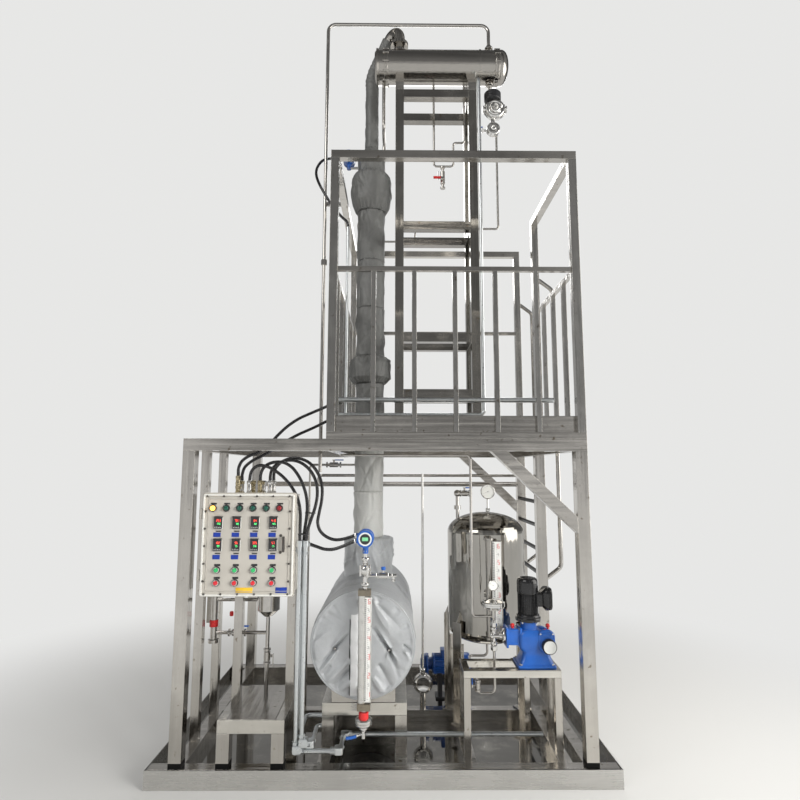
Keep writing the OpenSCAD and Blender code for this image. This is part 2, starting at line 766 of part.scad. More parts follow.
module transfer_pump() {
    x = 340;
    y = 350;
    color("steelblue") {
        translate([x, y, riser_z]) rotate([0, 90, 0]) cylinder(d = 150, h = 230);
        translate([x + 230, y, riser_z]) rotate([0, 90, 0]) cylinder(d = 158, h = 50);
        translate([x, y, riser_z]) rotate([0, -90, 0]) cylinder(d = 130, h = 40);
        translate([x - 40, y, riser_z]) rotate([0, -90, 0]) cylinder(d = 110, h = 50);
        block([x + 20, y - 60, floor_z], [x + 210, y + 60, floor_z + 14]);
        for (s = [40, 150])
            block([x + s, y - 50, floor_z + 14], [x + s + 30, y + 50, riser_z]);
        block([x + 60, y - 45, riser_z + 60], [x + 160, y + 45, riser_z + 110]);
    }
}

module riser() {
    color("silver") {
        translate([riser_x, -50, riser_z]) rotate([90, 0, 0]) cylinder(d = 118, h = 60, center = true);
        translate([riser_x, -50, riser_z]) rotate([90, 0, 0]) cylinder(d = 134, h = 14, center = true);
        rod([riser_x, -20, riser_z], [riser_x, 350 - 55, riser_z], pipe_d);
        rod([riser_x, -50, riser_z], [riser_x, -50, riser_z + 1425], thin_d);
        translate([riser_x, -50, riser_z + 55]) cylinder(d = 34, h = 40);
        translate([riser_x, -50, tray_h]) cylinder(d = 40, h = riser_z - tray_h - 40);
    }
}

// Control panel

module control_panel() {
    color("gainsboro") {
        block([panel_x + 14, panel_y - 30 - panel_d, panel_z + 14],
            [panel_x + panel_w - 14, panel_y - 30, panel_z + panel_h - 14]);
        block([panel_x + 40, panel_y - 30, panel_z + 60],
            [panel_x + panel_w - 40, panel_y, panel_z + 110]);
        block([panel_x + 40, panel_y - 30, panel_z + panel_h - 110],
            [panel_x + panel_w - 40, panel_y, panel_z + panel_h - 60]);
        difference() {
            block([panel_x, panel_y - 50 - panel_d, panel_z],
                [panel_x + panel_w, panel_y - 30 - panel_d, panel_z + panel_h]);
            for (x = [0, 1], z = [0, 1])
                translate([panel_x + x * panel_w, panel_y - 25 - panel_d, panel_z + z * panel_h])
                    rotate([90, 0, 0]) cylinder(r = 10, h = 40, $fn = 4);
        }
    }
}

door_y = panel_y - 50 - panel_d;

module panel_door() {
    color("whitesmoke") {
        block([panel_x + 6, door_y - 18, panel_z + 6],
            [panel_x + panel_w - 6, door_y, panel_z + panel_h - 6]);
        for (z = [90, panel_h - 90 - 60])
            translate([panel_x - 8, door_y - 10, panel_z + z]) cylinder(d = 18, h = 60);
        for (z = [90, panel_h - 90 - 60])
            block([panel_x - 8, door_y - 14, panel_z + z + 8], [panel_x + 8, door_y - 6, panel_z + z + 52]);
    }
}

module panel_devices() {
    y = door_y - 18;
    color("dimgray") {
        for (i = [0 : 5])
            translate([panel_x + 63 + i * 76.6, y, panel_z + 499]) rotate([90, 0, 0])
                cylinder(d = 40, h = 26);
        for (i = [0 : 3]) {
            x = panel_x + 97 + i * 105.5;
            for (z = [290, 415]) block([x - 24, y - 14, panel_z + z - 32], [x + 24, y, panel_z + z + 32]);
            for (z = [81, 152]) translate([x, y, panel_z + z]) rotate([90, 0, 0]) cylinder(d = 36, h = 24);
        }
        block([panel_x + 209, y - 3, panel_z + 26], [panel_x + 305, y, panel_z + 54]);
        block([panel_x + 435, y - 3, panel_z + 24], [panel_x + 500, y, panel_z + 56]);
        block([panel_x + 466, y - 16, panel_z + 253], [panel_x + 490, y, panel_z + 340]);
    }
}

module rack_posts() {
    color(steel) for (x = rack_x)
        block([x, panel_y, left_top], [x + light_tube, panel_y + light_tube, panel_z + panel_h - 30]);
}

gland_z = panel_z + panel_h - 14;
gland_x = [-893, -824, -760, -700];
gland_h = [112, 83, 83, 83];
gland_y = panel_y - 30 - panel_d / 2;

module cable_glands() {
    color("goldenrod") for (i = [0 : 3], back = [0, 1]) {
        h = back == 1 ? 83 : gland_h[i];
        translate([gland_x[i] + 12 * back, gland_y + 45 * back, gland_z]) {
            cylinder(d = 34, h = 16, $fn = 6);
            translate([0, 0, 16]) cylinder(d = 27, h = h - 38);
            translate([0, 0, h - 22]) cylinder(d = 32, h = 22, $fn = 6);
        }
    }
}

// Pipes and conduits

cond_run_y = stand_y - pipe_d / 2;

module conduits() {
    y1 = front + 60;
    ty = tower_y - tower_d / 2;
    side_x = still_side[0];
    top = 1309;
    color("lightgray") {
        pipe([[-495, y1, top], [-495, y1, 172], [-245, y1, 172], [-245, cond_run_y, 172],
            [930, cond_run_y, 172]], pipe_d, 34);
        pipe([[-477, y1 + 33, top], [-477, y1 + 33, 250], [-477, stand_y + 58, 250],
            [side_x, stand_y + 58, 250]], pipe_d, 34);
        pipe([[-460, y1, top], [-460, y1, 208], [-405, y1, 208], [-405, stand_y + 15, 208],
            [side_x, stand_y + 15, 208]], pipe_d, 26);
        for (p = [[-495, y1], [-477, y1 + 33], [-460, y1]]) {
            translate([p.x, p.y, top - 34]) cylinder(d = 34, h = 34);
            translate([p.x, p.y, top - 78]) cylinder(d = 32, h = 16, $fn = 6);
        }
        rod([-460, y1, 1288], [-434, y1, 1288], 24);
        block([panel_x + panel_w - 13.7, y1 + 24, 1240], [-477, y1 + 42, 1264]);
        rod([-300, y1, 172], [-275, y1, 172], 38);
        rod([-330, ty - 17, deck_z + 250], [deck_x1 - rail_tube, ty - 17, deck_z + 250], 34);
        pipe([[-330, ty - pipe_d / 2, deck_z + 150],
            [tower_x + tower_w + pipe_d / 2 + 2, ty - pipe_d / 2, deck_z + 150],
            [tower_x + tower_w + pipe_d / 2 + 2, ty - pipe_d / 2, tower_top + 90],
            [tower_x + tower_w + pipe_d / 2 + 2, tower_y, tower_top + 90],
            [tower_x + tower_w + pipe_d / 2 + 2, tower_y, cond_z - cond_d / 2]], pipe_d, 36);
        rod([-285, -300, deck_z], [-285, -300, 3430], 22);
    }
}

// The two pipes along the back beam, with their clips.
module back_pipes() {
    y = post_y - 65;
    z = beam_top - tube - 155;
    color("silver") {
        pipe([[1098, y, z], [-600, y, z], [-600, y, z - 77], [1098, y, z - 77]], 25, 34);
        for (x = [-480, 60, 560, 1040])
            block([x - 12, y, z - 86], [x + 12, post_y - half - weld, z - 68]);
    }
}

vent_x = -470;
valve_x = drain_x + 22;
vent_z = cond_z + 352;

module vent_line() {
    color("silver") {
        pipe([[vent_x, tower_y, 1700], [vent_x, tower_y, vent_z], [drain_x, tower_y, vent_z],
            [drain_x, tower_y, cond_z + cond_d / 2 + 40]], pipe_d, 60);
        block([vent_x + pipe_d / 2 - 1, tower_y - 9, rail_z - 40], [deck_x0, tower_y + 9, rail_z - 10]);
        translate([vent_x, tower_y, 3200]) cylinder(d = 42, h = 40, $fn = 6);
    }
}

module feed_line() {
    z1 = beam_top - tube - 10 - thin_d / 2;
    z2 = beam_top - 142;
    y1 = pump_cy;
    x1 = suction_x;
    top = head_z + 90;
    left = -575;
    color("silver") {
        pipe([[x1, y1, top], [x1, y1, top + 24], [530, y1, top + 24], [530, y1, z1],
            [-290, y1, z1], [-290, -200, z1]], thin_d, 22);
        pipe([[left, col_y, floor_z], [left, col_y, z2], [col_x - col_d / 2, col_y, z2]], thin_d, 24);
        translate([-400, col_y, z2]) ball_valve(110, 22, 80);
        translate([x1, y1, 0]) {
            translate([0, 0, top + 14]) cylinder(d = 24, h = 880 - top - 14);
            translate([0, 0, 868]) cylinder(d = 84, h = 16);
            translate([0, 0, 884]) cylinder(d1 = 78, d2 = 34, h = 36);
        }
        pipe([[x1, y1, head_z - 90], [x1, y1, 380], [556, y1, 380], [556, y1, 470],
            [556, tank_y, 470], [tank_x, tank_y, 470], [tank_x, tank_y, tank_z - tank_d * 0.19 - 24]],
            thin_d, 30);
        translate([556, y1, 425]) rotate([0, -90, 0]) ball_valve(64, 20, 60);
    }
}

module reflux_valve() {
    z = cond_z - cond_d / 2 - 20;
    color("silver") translate([valve_x, tower_y, 0]) {
        translate([drain_x - valve_x, 0, z - 60]) cylinder(d = 22, h = 60);
        translate([0, 0, z - 122]) cylinder(d = 128, h = 66);
        translate([0, 0, z - 200]) cylinder(d = 46, h = 90);
        translate([14, 30, z - 191]) rotate([90, 0, 0]) cylinder(d = 146, h = 60);
        translate([14, 9, z - 191]) rotate([90, 0, 0]) cylinder(d = 164, h = 18);
        translate([14, 0, z - 191]) rotate([90, 0, 0]) cylinder(d = 44, h = 66);
        translate([-77, 0, z - 191]) rotate([0, 90, 0]) cylinder(d = 56, h = 182);
        translate([0, 0, z - 340]) cylinder(d = 30, h = 150);
        translate([0, 24, z - 352]) rotate([90, 0, 0]) cylinder(d = 98, h = 50);
        translate([23, 0, z - 410]) cylinder(d = 26, h = 50);
        translate([-110, 0, z - 362]) ball_valve(72, 18, 44);
        rod([-80, 0, z - 362], [-40, 0, z - 362], 18);
    }
}

module return_lines() {
    z0 = cond_z - cond_d / 2;
    z1 = tower_top - 990;
    x0 = valve_x + 23;
    sample = [569, 484, 339];
    inlet = tank_z + tank_h + 114;
    color("silver") {
        pipe([[x0, tower_y, z0 - 430], [x0, tower_y, z1], [200, tower_y, z1], [200, col_y, z1],
            [col_x + col_d / 2, col_y, z1]], thin_d, 22);
        pipe([[-40, tower_y, z0], [-40, tower_y, col_top + 130], [-40, col_y - 20, col_top + 130],
            [-40, col_y - 20, col_top + 62]], pipe_d, 30);
        pipe([[sample[0], tower_y, z0], [sample[0], tower_y, 4160], [sample[1], tower_y, 4160],
            [sample[1], tower_y, 3971], [sample[2], tower_y, 3971], [sample[2], tower_y, z0]],
            thin_d, 22);
        translate([403, tower_y, 3880]) rotate([0, -90, 0]) ball_valve(170, 20, 60);
        rod([403, tower_y, 3866], [403, tower_y - 32, 3866], 14);
        block([333, tower_y - 37, 3859], [411, tower_y - 32, 3873]);
        translate([tank_x - 192, tank_y, inlet - 20]) cylinder(d = 24, h = 190);
        translate([tank_x - 192, tank_y, inlet + 60]) cylinder(d = 48, h = 26);
        translate([tank_x - 192, tank_y, inlet + 170]) sphere(d = 48);
        rod([tank_x - 192, tank_y, inlet + 170], [tank_x - 90, tank_y, inlet + 170], 26);
        translate([tank_x - 140, tank_y, inlet + 170]) ball_valve(70, 24, 64);
    }
}

module small_vessel() {
    x = -745;
    y = -420;
    tube_x = x - 340;
    color("silver") {
        translate([x, y, 840]) cylinder(d = 142, h = 560);
        translate([x, y, 1400]) cylinder(d1 = 142, d2 = 60, h = 40);
        translate([x, y, 800]) cylinder(d1 = 50, d2 = 142, h = 40);
        translate([x, y, left_top + 4]) cylinder(d = 25, h = 446 - left_top + 357);
        translate([x, y, 560]) rotate([0, 90, 0]) ball_valve(90, 24, 80);
        rod([x, y, 700], [tube_x, y, 700], 22);
        translate([x - 190, y, 700]) ball_valve(110, 24, 80);
        for (z = [900, 1340]) rod([x, y, z], [tube_x, y, z], 22);
        translate([tube_x, y, 650]) cylinder(d = 44, h = 750);
        translate([tube_x, y, 640]) cylinder(d = 66, h = 20);
        block([tube_x - 46, y - 8, 760], [tube_x - 15, y, 1390]);
    }
}

// Ladder

module ladder_rungs() {
    color([0.25, 0.25, 0.24]) for (i = [0 : 8])
        rod([post_x, gate_y - 25 + tube, 244 + i * rung_step], [post_x, post_y - half, 244 + i * rung_step], 30);
}

module hand_rails() {
    x = post_x + half;
    out = x + 107;
    color("silver") for (y = [gate_y, deck_y1 - rail_tube / 2]) {
        low = [x, y, 930];
        low_b = [out, y, 1009];
        top_b = [out, y, 3118];
        top = [x, y, 3200];
        sweep(concat([low], corner(low, low_b, top_b, 60), corner(low_b, top_b, top, 60), [top]),
            hand_d, 16);
    }
}

// Hoses

hose_od = 20;
rubber = [0.08, 0.08, 0.08];
route_a = [[-893, -685, 1680], [-893, -685, 1724], [-876, -679, 1767], [-838, -662, 1799],
    [-788, -630, 1824], [-736, -585, 1872], [-690, -545, 1934], [-640, -505, 1992],
    [-575, -462, 2046], [-490, -412, 2094], [-410, -370, 2136], [-330, -349, 2186]];
route_b = [[-881, -640, 1651], [-881, -640, 1690], [-866, -636, 1734], [-828, -620, 1770],
    [-775, -592, 1802], [-715, -555, 1842], [-650, -508, 1894], [-575, -458, 1944],
    [-490, -406, 1990], [-410, -366, 2036], [-330, -345, 2086]];
route_c = [[-824, -685, 1651], [-817, -688, 1697], [-795, -698, 1726], [-762, -709, 1741],
    [-714, -720, 1735], [-662, -730, 1710], [-606, -741, 1668], [-556, -749, 1612],
    [-518, -756, 1542], [-499, -776, 1467], [-496, -788, 1388], [-495, -790, 1309]];
route_d = [[-760, -685, 1651], [-758, -686, 1686], [-744, -691, 1722], [-712, -699, 1749],
    [-664, -709, 1762], [-610, -720, 1757], [-556, -733, 1724], [-508, -745, 1660],
    [-474, -754, 1580], [-462, -759, 1500], [-466, -760, 1425], [-475, -758, 1360],
    [-477, -757, 1309]];
route_e = [[-700, -685, 1651], [-699, -685, 1686], [-688, -684, 1722], [-658, -684, 1752],
    [-612, -686, 1770], [-556, -693, 1771], [-500, -706, 1750], [-448, -726, 1704],
    [-414, -748, 1642], [-403, -767, 1572], [-412, -781, 1500], [-434, -788, 1428],
    [-454, -790, 1362], [-460, -790, 1309]];
route_f = [[-688, -640, 1651], [-687, -641, 1694], [-672, -645, 1734], [-632, -652, 1768],
    [-576, -662, 1786], [-512, -678, 1780], [-452, -702, 1748], [-403, -729, 1688],
    [-378, -751, 1616], [-377, -762, 1540], [-389, -768, 1470], [-397, -770, 1410],
    [-380, -769, 1360], [-340, -766, 1326], [-290, -764, 1311], [-230, -764, 1319],
    [-178, -764, 1337]];
route_g = [[-434, -790, 1288], [-398, -791, 1276], [-352, -794, 1262], [-300, -798, 1262],
    [-238, -802, 1282], [-178, -804, 1309]];
route_h = [[-380, 60, 4151], [-440, 40, 4148], [-505, -20, 4100], [-535, -110, 4000],
    [-535, -200, 3890], [-505, -270, 3780], [-450, -300, 3670], [-390, -300, 3575],
    [-330, -300, 3505], [-294, -300, 3470], [-285, -300, 3430]];

module hose_conduit_a() { color(rubber) sweep(route_a, hose_od); }
module hose_conduit_b() { color(rubber) sweep(route_b, hose_od); }
module hose_down() { color(rubber) for (r = [route_c, route_d, route_e]) sweep(r, hose_od); }
module hose_level() { color(rubber) for (r = [route_f, route_g]) sweep(r, hose_od); }
module hose_top() { color(rubber) sweep(route_h, hose_od); }

tray_floor();
tray_walls();
base_rails();
posts();
main_beams();
braces();
deck();
deck_edge();
toe_boards();
rail_posts();
top_rails();
mid_rails();
balusters();
tower_uprights();
tower_bars();
condenser_shell();
condenser_ends();
condenser_saddles();
column();
flange_jackets();
vapour_line();
vapour_elbow();
still_body();
still_collar();
still_saddles();
stand_legs();
stand_beams();
stand_plates();
level_gauge();
gauge_valves();
transmitters();
receiver_shell();
receiver_heads();
receiver_legs();
receiver_gauge();
pressure_gauges();
pump_body();
pump_motor();
pump_head();
transfer_pump();
riser();
control_panel();
panel_door();
panel_devices();
rack_posts();
cable_glands();
conduits();
back_pipes();
vent_line();
feed_line();
reflux_valve();
return_lines();
small_vessel();
ladder_rungs();
hand_rails();
hose_conduit_a();
hose_conduit_b();
hose_down();
hose_level();
hose_top();
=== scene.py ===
# %% [markdown]
# # A distillation column on a skid
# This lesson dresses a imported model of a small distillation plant. The frame of square tubes,
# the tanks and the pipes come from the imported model, and each step here adds one finish or one
# detailed piece. Everything is in metres, with Z up and the front of the skid at negative Y.

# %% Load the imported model
import bpy
import math
import numpy as np
from mathutils import Matrix, Vector


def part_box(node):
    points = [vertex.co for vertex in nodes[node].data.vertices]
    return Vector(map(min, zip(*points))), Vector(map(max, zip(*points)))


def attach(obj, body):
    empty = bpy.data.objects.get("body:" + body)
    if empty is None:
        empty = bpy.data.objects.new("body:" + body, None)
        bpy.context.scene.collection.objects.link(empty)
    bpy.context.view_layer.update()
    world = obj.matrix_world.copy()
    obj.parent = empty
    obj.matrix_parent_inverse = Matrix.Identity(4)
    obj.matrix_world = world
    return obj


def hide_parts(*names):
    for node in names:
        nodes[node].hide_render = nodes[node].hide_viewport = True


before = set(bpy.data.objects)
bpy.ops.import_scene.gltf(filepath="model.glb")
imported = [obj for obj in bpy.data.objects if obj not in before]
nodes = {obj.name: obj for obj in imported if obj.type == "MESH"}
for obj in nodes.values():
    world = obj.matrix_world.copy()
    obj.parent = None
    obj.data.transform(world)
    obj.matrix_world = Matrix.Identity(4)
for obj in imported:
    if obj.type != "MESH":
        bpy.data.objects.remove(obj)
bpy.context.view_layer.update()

# %% [markdown]
# ## The camera
# The photograph was taken standing in front of the skid at eye height with a short lens, tilted
# up a little. The numbers below come from lining up the straight edges of the skid. A short lens
# close to the object keeps the strong lean of the tall parts, which a long lens would lose.

# %% Set the camera
camera = bpy.data.objects.new("camera", bpy.data.cameras.new("camera"))
bpy.context.scene.collection.objects.link(camera)
camera.data.sensor_width = 36.0
camera.data.lens = 25.381
camera.data.clip_end = 200.0
tilt, yaw, roll = math.radians(7.153), math.radians(0.447), math.radians(-0.10)
camera.matrix_world = (Matrix.Translation((0.0562, -4.1314, 1.7108))
                       @ Matrix.Rotation(-yaw, 4, "Z")
                       @ Matrix.Rotation(math.pi / 2 + tilt, 4, "X")
                       @ Matrix.Rotation(-roll, 4, "Z"))
bpy.context.scene.camera = camera
print("camera height", round(camera.location.z, 3))

# %% [markdown]
# ## Floor, sky and lamps
# Stainless steel shows what stands round it more than its own colour. A plain white room makes
# it look like plaster, so the room here is pale where the camera looks but has soft grey bands
# for reflections, as a workshop with windows and walls has. Four wide lamps give soft shade.

# %% Helpers for node trees
def new_node(tree, kind, values=None, **settings):
    """Adds one node; settings are its own fields, values go to its input sockets."""
    made = tree.nodes.new(kind)
    for key, value in settings.items():
        setattr(made, key, value)
    for key, value in (values or {}).items():
        if isinstance(value, bpy.types.NodeSocket):
            tree.links.new(value, made.inputs[key])
        else:
            made.inputs[key].default_value = value
    return made


def ramp(tree, fac, stops):
    """A colour ramp: stops are (place, grey or colour)."""
    made = new_node(tree, "ShaderNodeValToRGB", {"Fac": fac})
    band = made.color_ramp
    while len(band.elements) < len(stops):
        band.elements.new(0.5)
    for element, (place, tone) in zip(band.elements, stops):
        element.position = place
        element.color = (*tone, 1) if isinstance(tone, tuple) else (tone, tone, tone, 1)
    return made.outputs["Color"]


def calc(tree, operation, a, b, **settings):
    """One sum with two numbers or sockets."""
    return new_node(tree, "ShaderNodeMath", {0: a, 1: b}, operation=operation, **settings).outputs[0]


def span(tree, value, low=0.0, high=1.0, to_low=0.0, to_high=1.0, **settings):
    """Carries a value from the stretch low to high over to the stretch to_low to to_high."""
    ends = {"Value": value, "From Min": low, "From Max": high, "To Min": to_low, "To Max": to_high}
    return new_node(tree, "ShaderNodeMapRange", ends, **settings).outputs[0]


def mix_color(tree, factor, a, b, **settings):
    """A colour that goes from a to b with the factor."""
    values = {"Factor": factor, 6: a, 7: b}
    return new_node(tree, "ShaderNodeMix", values, data_type="RGBA", **settings).outputs[2]


def mix_shader(tree, factor, a, b):
    """Shader a where the factor is 0 and b where it is 1."""
    return new_node(tree, "ShaderNodeMixShader", {0: factor, 1: a, 2: b}).outputs[0]


# %% Light the room
BACKDROP = (0.80, 0.80, 0.79, 1)
world = bpy.data.worlds.new("room")
bpy.context.scene.world = world
world.use_nodes = True
sky = world.node_tree
sky.nodes.clear()
way = new_node(sky, "ShaderNodeTexCoord").outputs["Generated"]
part = new_node(sky, "ShaderNodeSeparateXYZ", {0: way}).outputs
height = span(sky, part["Z"], -1.0)
turn = span(sky, calc(sky, "ARCTAN2", part["X"], part["Y"]), -math.pi, math.pi)
bands = ramp(sky, turn, [
    (0.0, 0.50), (0.018, 0.48), (0.028, 0.30), (0.045, 0.38), (0.055, 1.0), (0.075, 0.95), (0.09, 0.14),
    (0.15, 0.85), (0.22, 0.80), (0.26, 0.12), (0.38, 0.30), (0.44, 1.0), (0.55, 0.85), (0.60, 0.12),
    (0.69, 0.20), (0.75, 1.0), (0.84, 0.95), (0.89, 0.14), (0.925, 0.16), (0.935, 0.9), (0.955, 0.95),
    (0.965, 0.30), (0.98, 0.34), (0.988, 0.48), (1.0, 0.50)])
fall = ramp(sky, height, [
    (0.0, 0.10), (0.42, 0.60), (0.50, 0.72), (0.54, 0.36), (0.70, 0.30), (0.84, 0.20), (1.0, 0.14)])
room = mix_color(sky, 0.75, fall, bands, blend_type="MULTIPLY")


def backdrop(color, strength):
    """Light from all round, of one colour or of the bands of the room."""
    return new_node(sky, "ShaderNodeBackground", {"Color": color, "Strength": strength}).outputs[0]


ray = new_node(sky, "ShaderNodeLightPath").outputs
mirrored = calc(sky, "MAXIMUM", ray["Is Glossy Ray"], ray["Is Transmission Ray"])
lighting = mix_shader(sky, mirrored, backdrop((1.0, 0.99, 0.97, 1), 0.44), backdrop(room, 1.25))
whole = mix_shader(sky, ray["Is Camera Ray"], lighting, backdrop(BACKDROP, 1.0))
new_node(sky, "ShaderNodeOutputWorld", {"Surface": whole})


def lamp(name, place, aim, size, power, tone=(1, 1, 1), spread=180):
    """A wide square lamp at place that points at aim; spread is the angle its light fills."""
    data = bpy.data.lights.new(name, "AREA")
    data.size, data.energy, data.color, data.spread = size, power, tone, math.radians(spread)
    made = bpy.data.objects.new(name, data)
    bpy.context.scene.collection.objects.link(made)
    made.location = place
    made.rotation_euler = (Vector(aim) - Vector(place)).to_track_quat("-Z", "Y").to_euler()
    return made


lamp("key_lamp", (-4.2, -5.0, 6.5), (0, 0, 2.0), 3.5, 150, (1.0, 0.985, 0.96))
lamp("right_lamp", (5.5, -1.5, 3.0), (0, 0, 1.4), 5.0, 210, (1.0, 0.97, 0.92))
lamp("back_lamp", (1.0, 5.5, 6.5), (0, 0, 2.5), 3.5, 150)
door_lamp = lamp("door_lamp", (4.6, -5.2, 2.6), (0, 0, 0.7), 2.6, 190, (1.0, 0.99, 0.96), 120)
door_lamp.visible_glossy = False
bpy.context.scene.view_settings.view_transform = "Standard"

# %% Lay the floor
HALF = 30.0
floor = bpy.data.objects.new("floor", bpy.data.meshes.new("floor"))
floor.data.from_pydata([(-HALF, -HALF, 0), (HALF, -HALF, 0), (HALF, HALF, 0), (-HALF, HALF, 0)], [],
                       [(0, 1, 2, 3)])
bpy.context.scene.collection.objects.link(floor)
floor.location.z = -0.0005
slab = bpy.data.materials.new("pale_floor")
slab.use_nodes = True
ground = slab.node_tree
ground.nodes.clear()
matt = new_node(ground, "ShaderNodeBsdfPrincipled", {"Base Color": (0.62, 0.62, 0.61, 1), "Roughness": 0.8})
glow = new_node(ground, "ShaderNodeEmission", {"Color": BACKDROP, "Strength": 1.0})
here = new_node(ground, "ShaderNodeTexCoord").outputs["Object"]
away = new_node(ground, "ShaderNodeVectorMath", {0: here}, operation="LENGTH").outputs["Value"]
away = span(ground, away, 1.7, 4.4, interpolation_type="SMOOTHSTEP")
ray = new_node(ground, "ShaderNodeLightPath").outputs
seen = calc(ground, "MAXIMUM", ray["Is Camera Ray"], ray["Is Glossy Ray"])
seen = calc(ground, "MAXIMUM", seen, ray["Is Transmission Ray"])
fade = calc(ground, "MULTIPLY", seen, away)
surface = mix_shader(ground, fade, matt.outputs[0], glow.outputs[0])
new_node(ground, "ShaderNodeOutputMaterial", {"Surface": surface})
floor.data.materials.append(slab)
print("lamps 4, floor laid")

# %% [markdown]
# ## A recipe for finishes
# A real surface is never one flat colour: brushed steel has fine lines along the tube, clouds
# of polish and stains, and a slightly uneven shine. Each finish here is one base colour with
# a few layers of noise. A layer can change the colour, the shine and the bump, and its noise
# is stretched along the way the real sheet or tube was brushed.

# %% Build a finish from layers
def finish(name, color, rough, metal=0.0, layers=(), bands=(), edge=0.0, **more):
    """A material: base colour and roughness, each layer of noise n (0 to 1) then multiplies the
    colour by 1 + tint * (2n - 1), adds rough * (2n - 1) to the roughness and raises the
    surface by bump metres. bands are (low z, high z, colour, roughness, front) and hold where y is
    below front; here they carry painted shade and painted light. edge rounds the shading of sharp
    edges over that many metres."""
    made = bpy.data.materials.new(name)
    made.use_nodes = True
    tree = made.node_tree
    shader = tree.nodes["Principled BSDF"]
    where = new_node(tree, "ShaderNodeTexCoord").outputs["Object"]
    paint, gloss, normal = None, None, None
    if edge:
        normal = new_node(tree, "ShaderNodeBevel", {"Radius": edge}, samples=4).outputs[0]
    for layer in layers:
        place = new_node(tree, "ShaderNodeMapping",
                         {"Vector": where, "Scale": layer.get("stretch", (1, 1, 1))}).outputs[0]
        n = new_node(tree, "ShaderNodeTexNoise",
                     {"Vector": place, "Scale": layer["scale"], "Detail": layer.get("detail", 3),
                      "Roughness": layer.get("grit", 0.55)}).outputs["Fac"]
        n = span(tree, n, layer.get("low", 0.3), layer.get("high", 0.7))
        if "tint" in layer:
            gain = span(tree, n, to_low=1 - layer["tint"], to_high=1 + layer["tint"])
            paint = new_node(tree, "ShaderNodeVectorMath",
                             {0: paint or tuple(color), "Scale": gain}, operation="SCALE").outputs[0]
        if "mix" in layer:
            paint = mix_color(tree, n, paint or (*color, 1), (*layer["mix"], 1))
        if "rough" in layer:
            step = span(tree, n, to_low=-layer["rough"], to_high=layer["rough"])
            gloss = calc(tree, "ADD", gloss or rough, step, use_clamp=True)
        if "bump" in layer:
            values = {"Height": n, "Distance": layer["bump"], "Strength": 1.0}
            if normal:
                values["Normal"] = normal
            normal = new_node(tree, "ShaderNodeBump", values).outputs[0]
    for low, high, tone, band_rough, front in bands:
        y, z = new_node(tree, "ShaderNodeSeparateXYZ", {0: where}).outputs[1:3]
        upright = calc(tree, "MULTIPLY", calc(tree, "GREATER_THAN", z, low),
                       calc(tree, "LESS_THAN", z, high))
        inside = calc(tree, "MULTIPLY", upright, calc(tree, "LESS_THAN", y, front))
        paint = mix_color(tree, inside, paint or (*color, 1), (*tone, 1))
        gloss = new_node(tree, "ShaderNodeMix", {"Factor": inside, 2: gloss or rough,
                                                 3: band_rough}).outputs[0]
    shader.inputs["Base Color"].default_value = (*color, 1)
    shader.inputs["Roughness"].default_value = rough
    shader.inputs["Metallic"].default_value = metal
    for key, value in more.items():
        shader.inputs[key.replace("_", " ")].default_value = value
    if paint:
        tree.links.new(paint, shader.inputs["Base Color"])
    if gloss:
        tree.links.new(gloss, shader.inputs["Roughness"])
    if normal:
        tree.links.new(normal, shader.inputs["Normal"])
    return made


def clouds(scale, detail, tint, rough):
    """A layer of noise that changes the colour and the shine together."""
    return dict(scale=scale, detail=detail, tint=tint, rough=rough)


# %% [markdown]
# ## Steels
# The frame is stainless tube with a long brushed grain, and the shells and pipes are polished.
# Anisotropy in the shader would need a tangent along every tube, so the grain here is noise
# squeezed along the tube's own axis, with one material for each direction. The tower's steel is
# darkened as painted shade, for the dimmer light high on the skid, and the stand's steel is brighter.

# %% Steels
def brushed(name, along, color=(0.58, 0.555, 0.515), rough=0.18, painted_foot_shade=False):
    """Stainless tube, brushed along one axis: noise squeezed 60 times along it, with clouds of
    polish, dull smears and darker heat stains over it. The foot flag adds a black band of painted
    shade 100 to 131 mm up on the uprights at the front of the skid, where they meet the tray."""
    line = {"x": (1, 60, 60), "y": (60, 1, 60), "z": (60, 60, 1)}[along]
    wave = {"x": (0.05, 1, 1), "y": (1, 0.05, 1), "z": (1, 1, 0.05)}[along]
    return finish(name, color, rough, 1.0, [
        dict(stretch=wave, scale=24, detail=1, tint=0.05, bump=0.0011),
        dict(stretch=line, scale=11, detail=4, tint=0.05, rough=0.04, bump=0.00008),
        clouds(1.3, 3, 0.16, 0.05),
        dict(scale=5.5, detail=5, grit=0.65, low=0.48, high=0.75, tint=0.08, rough=0.06),
        dict(scale=26, detail=3, low=0.66, high=0.74, mix=(0.24, 0.20, 0.15))],
        bands=[(0.0995, 0.131, (0.02, 0.02, 0.02), 0.5, -0.70)] if painted_foot_shade else (), edge=0.004)


steel_x = brushed("steel_along_x", "x")
steel_y = brushed("steel_along_y", "y")
# The uprights get a black band of painted shade at their foot, where they meet the tray.
steel_z = brushed("steel_along_z", "z", painted_foot_shade=True)
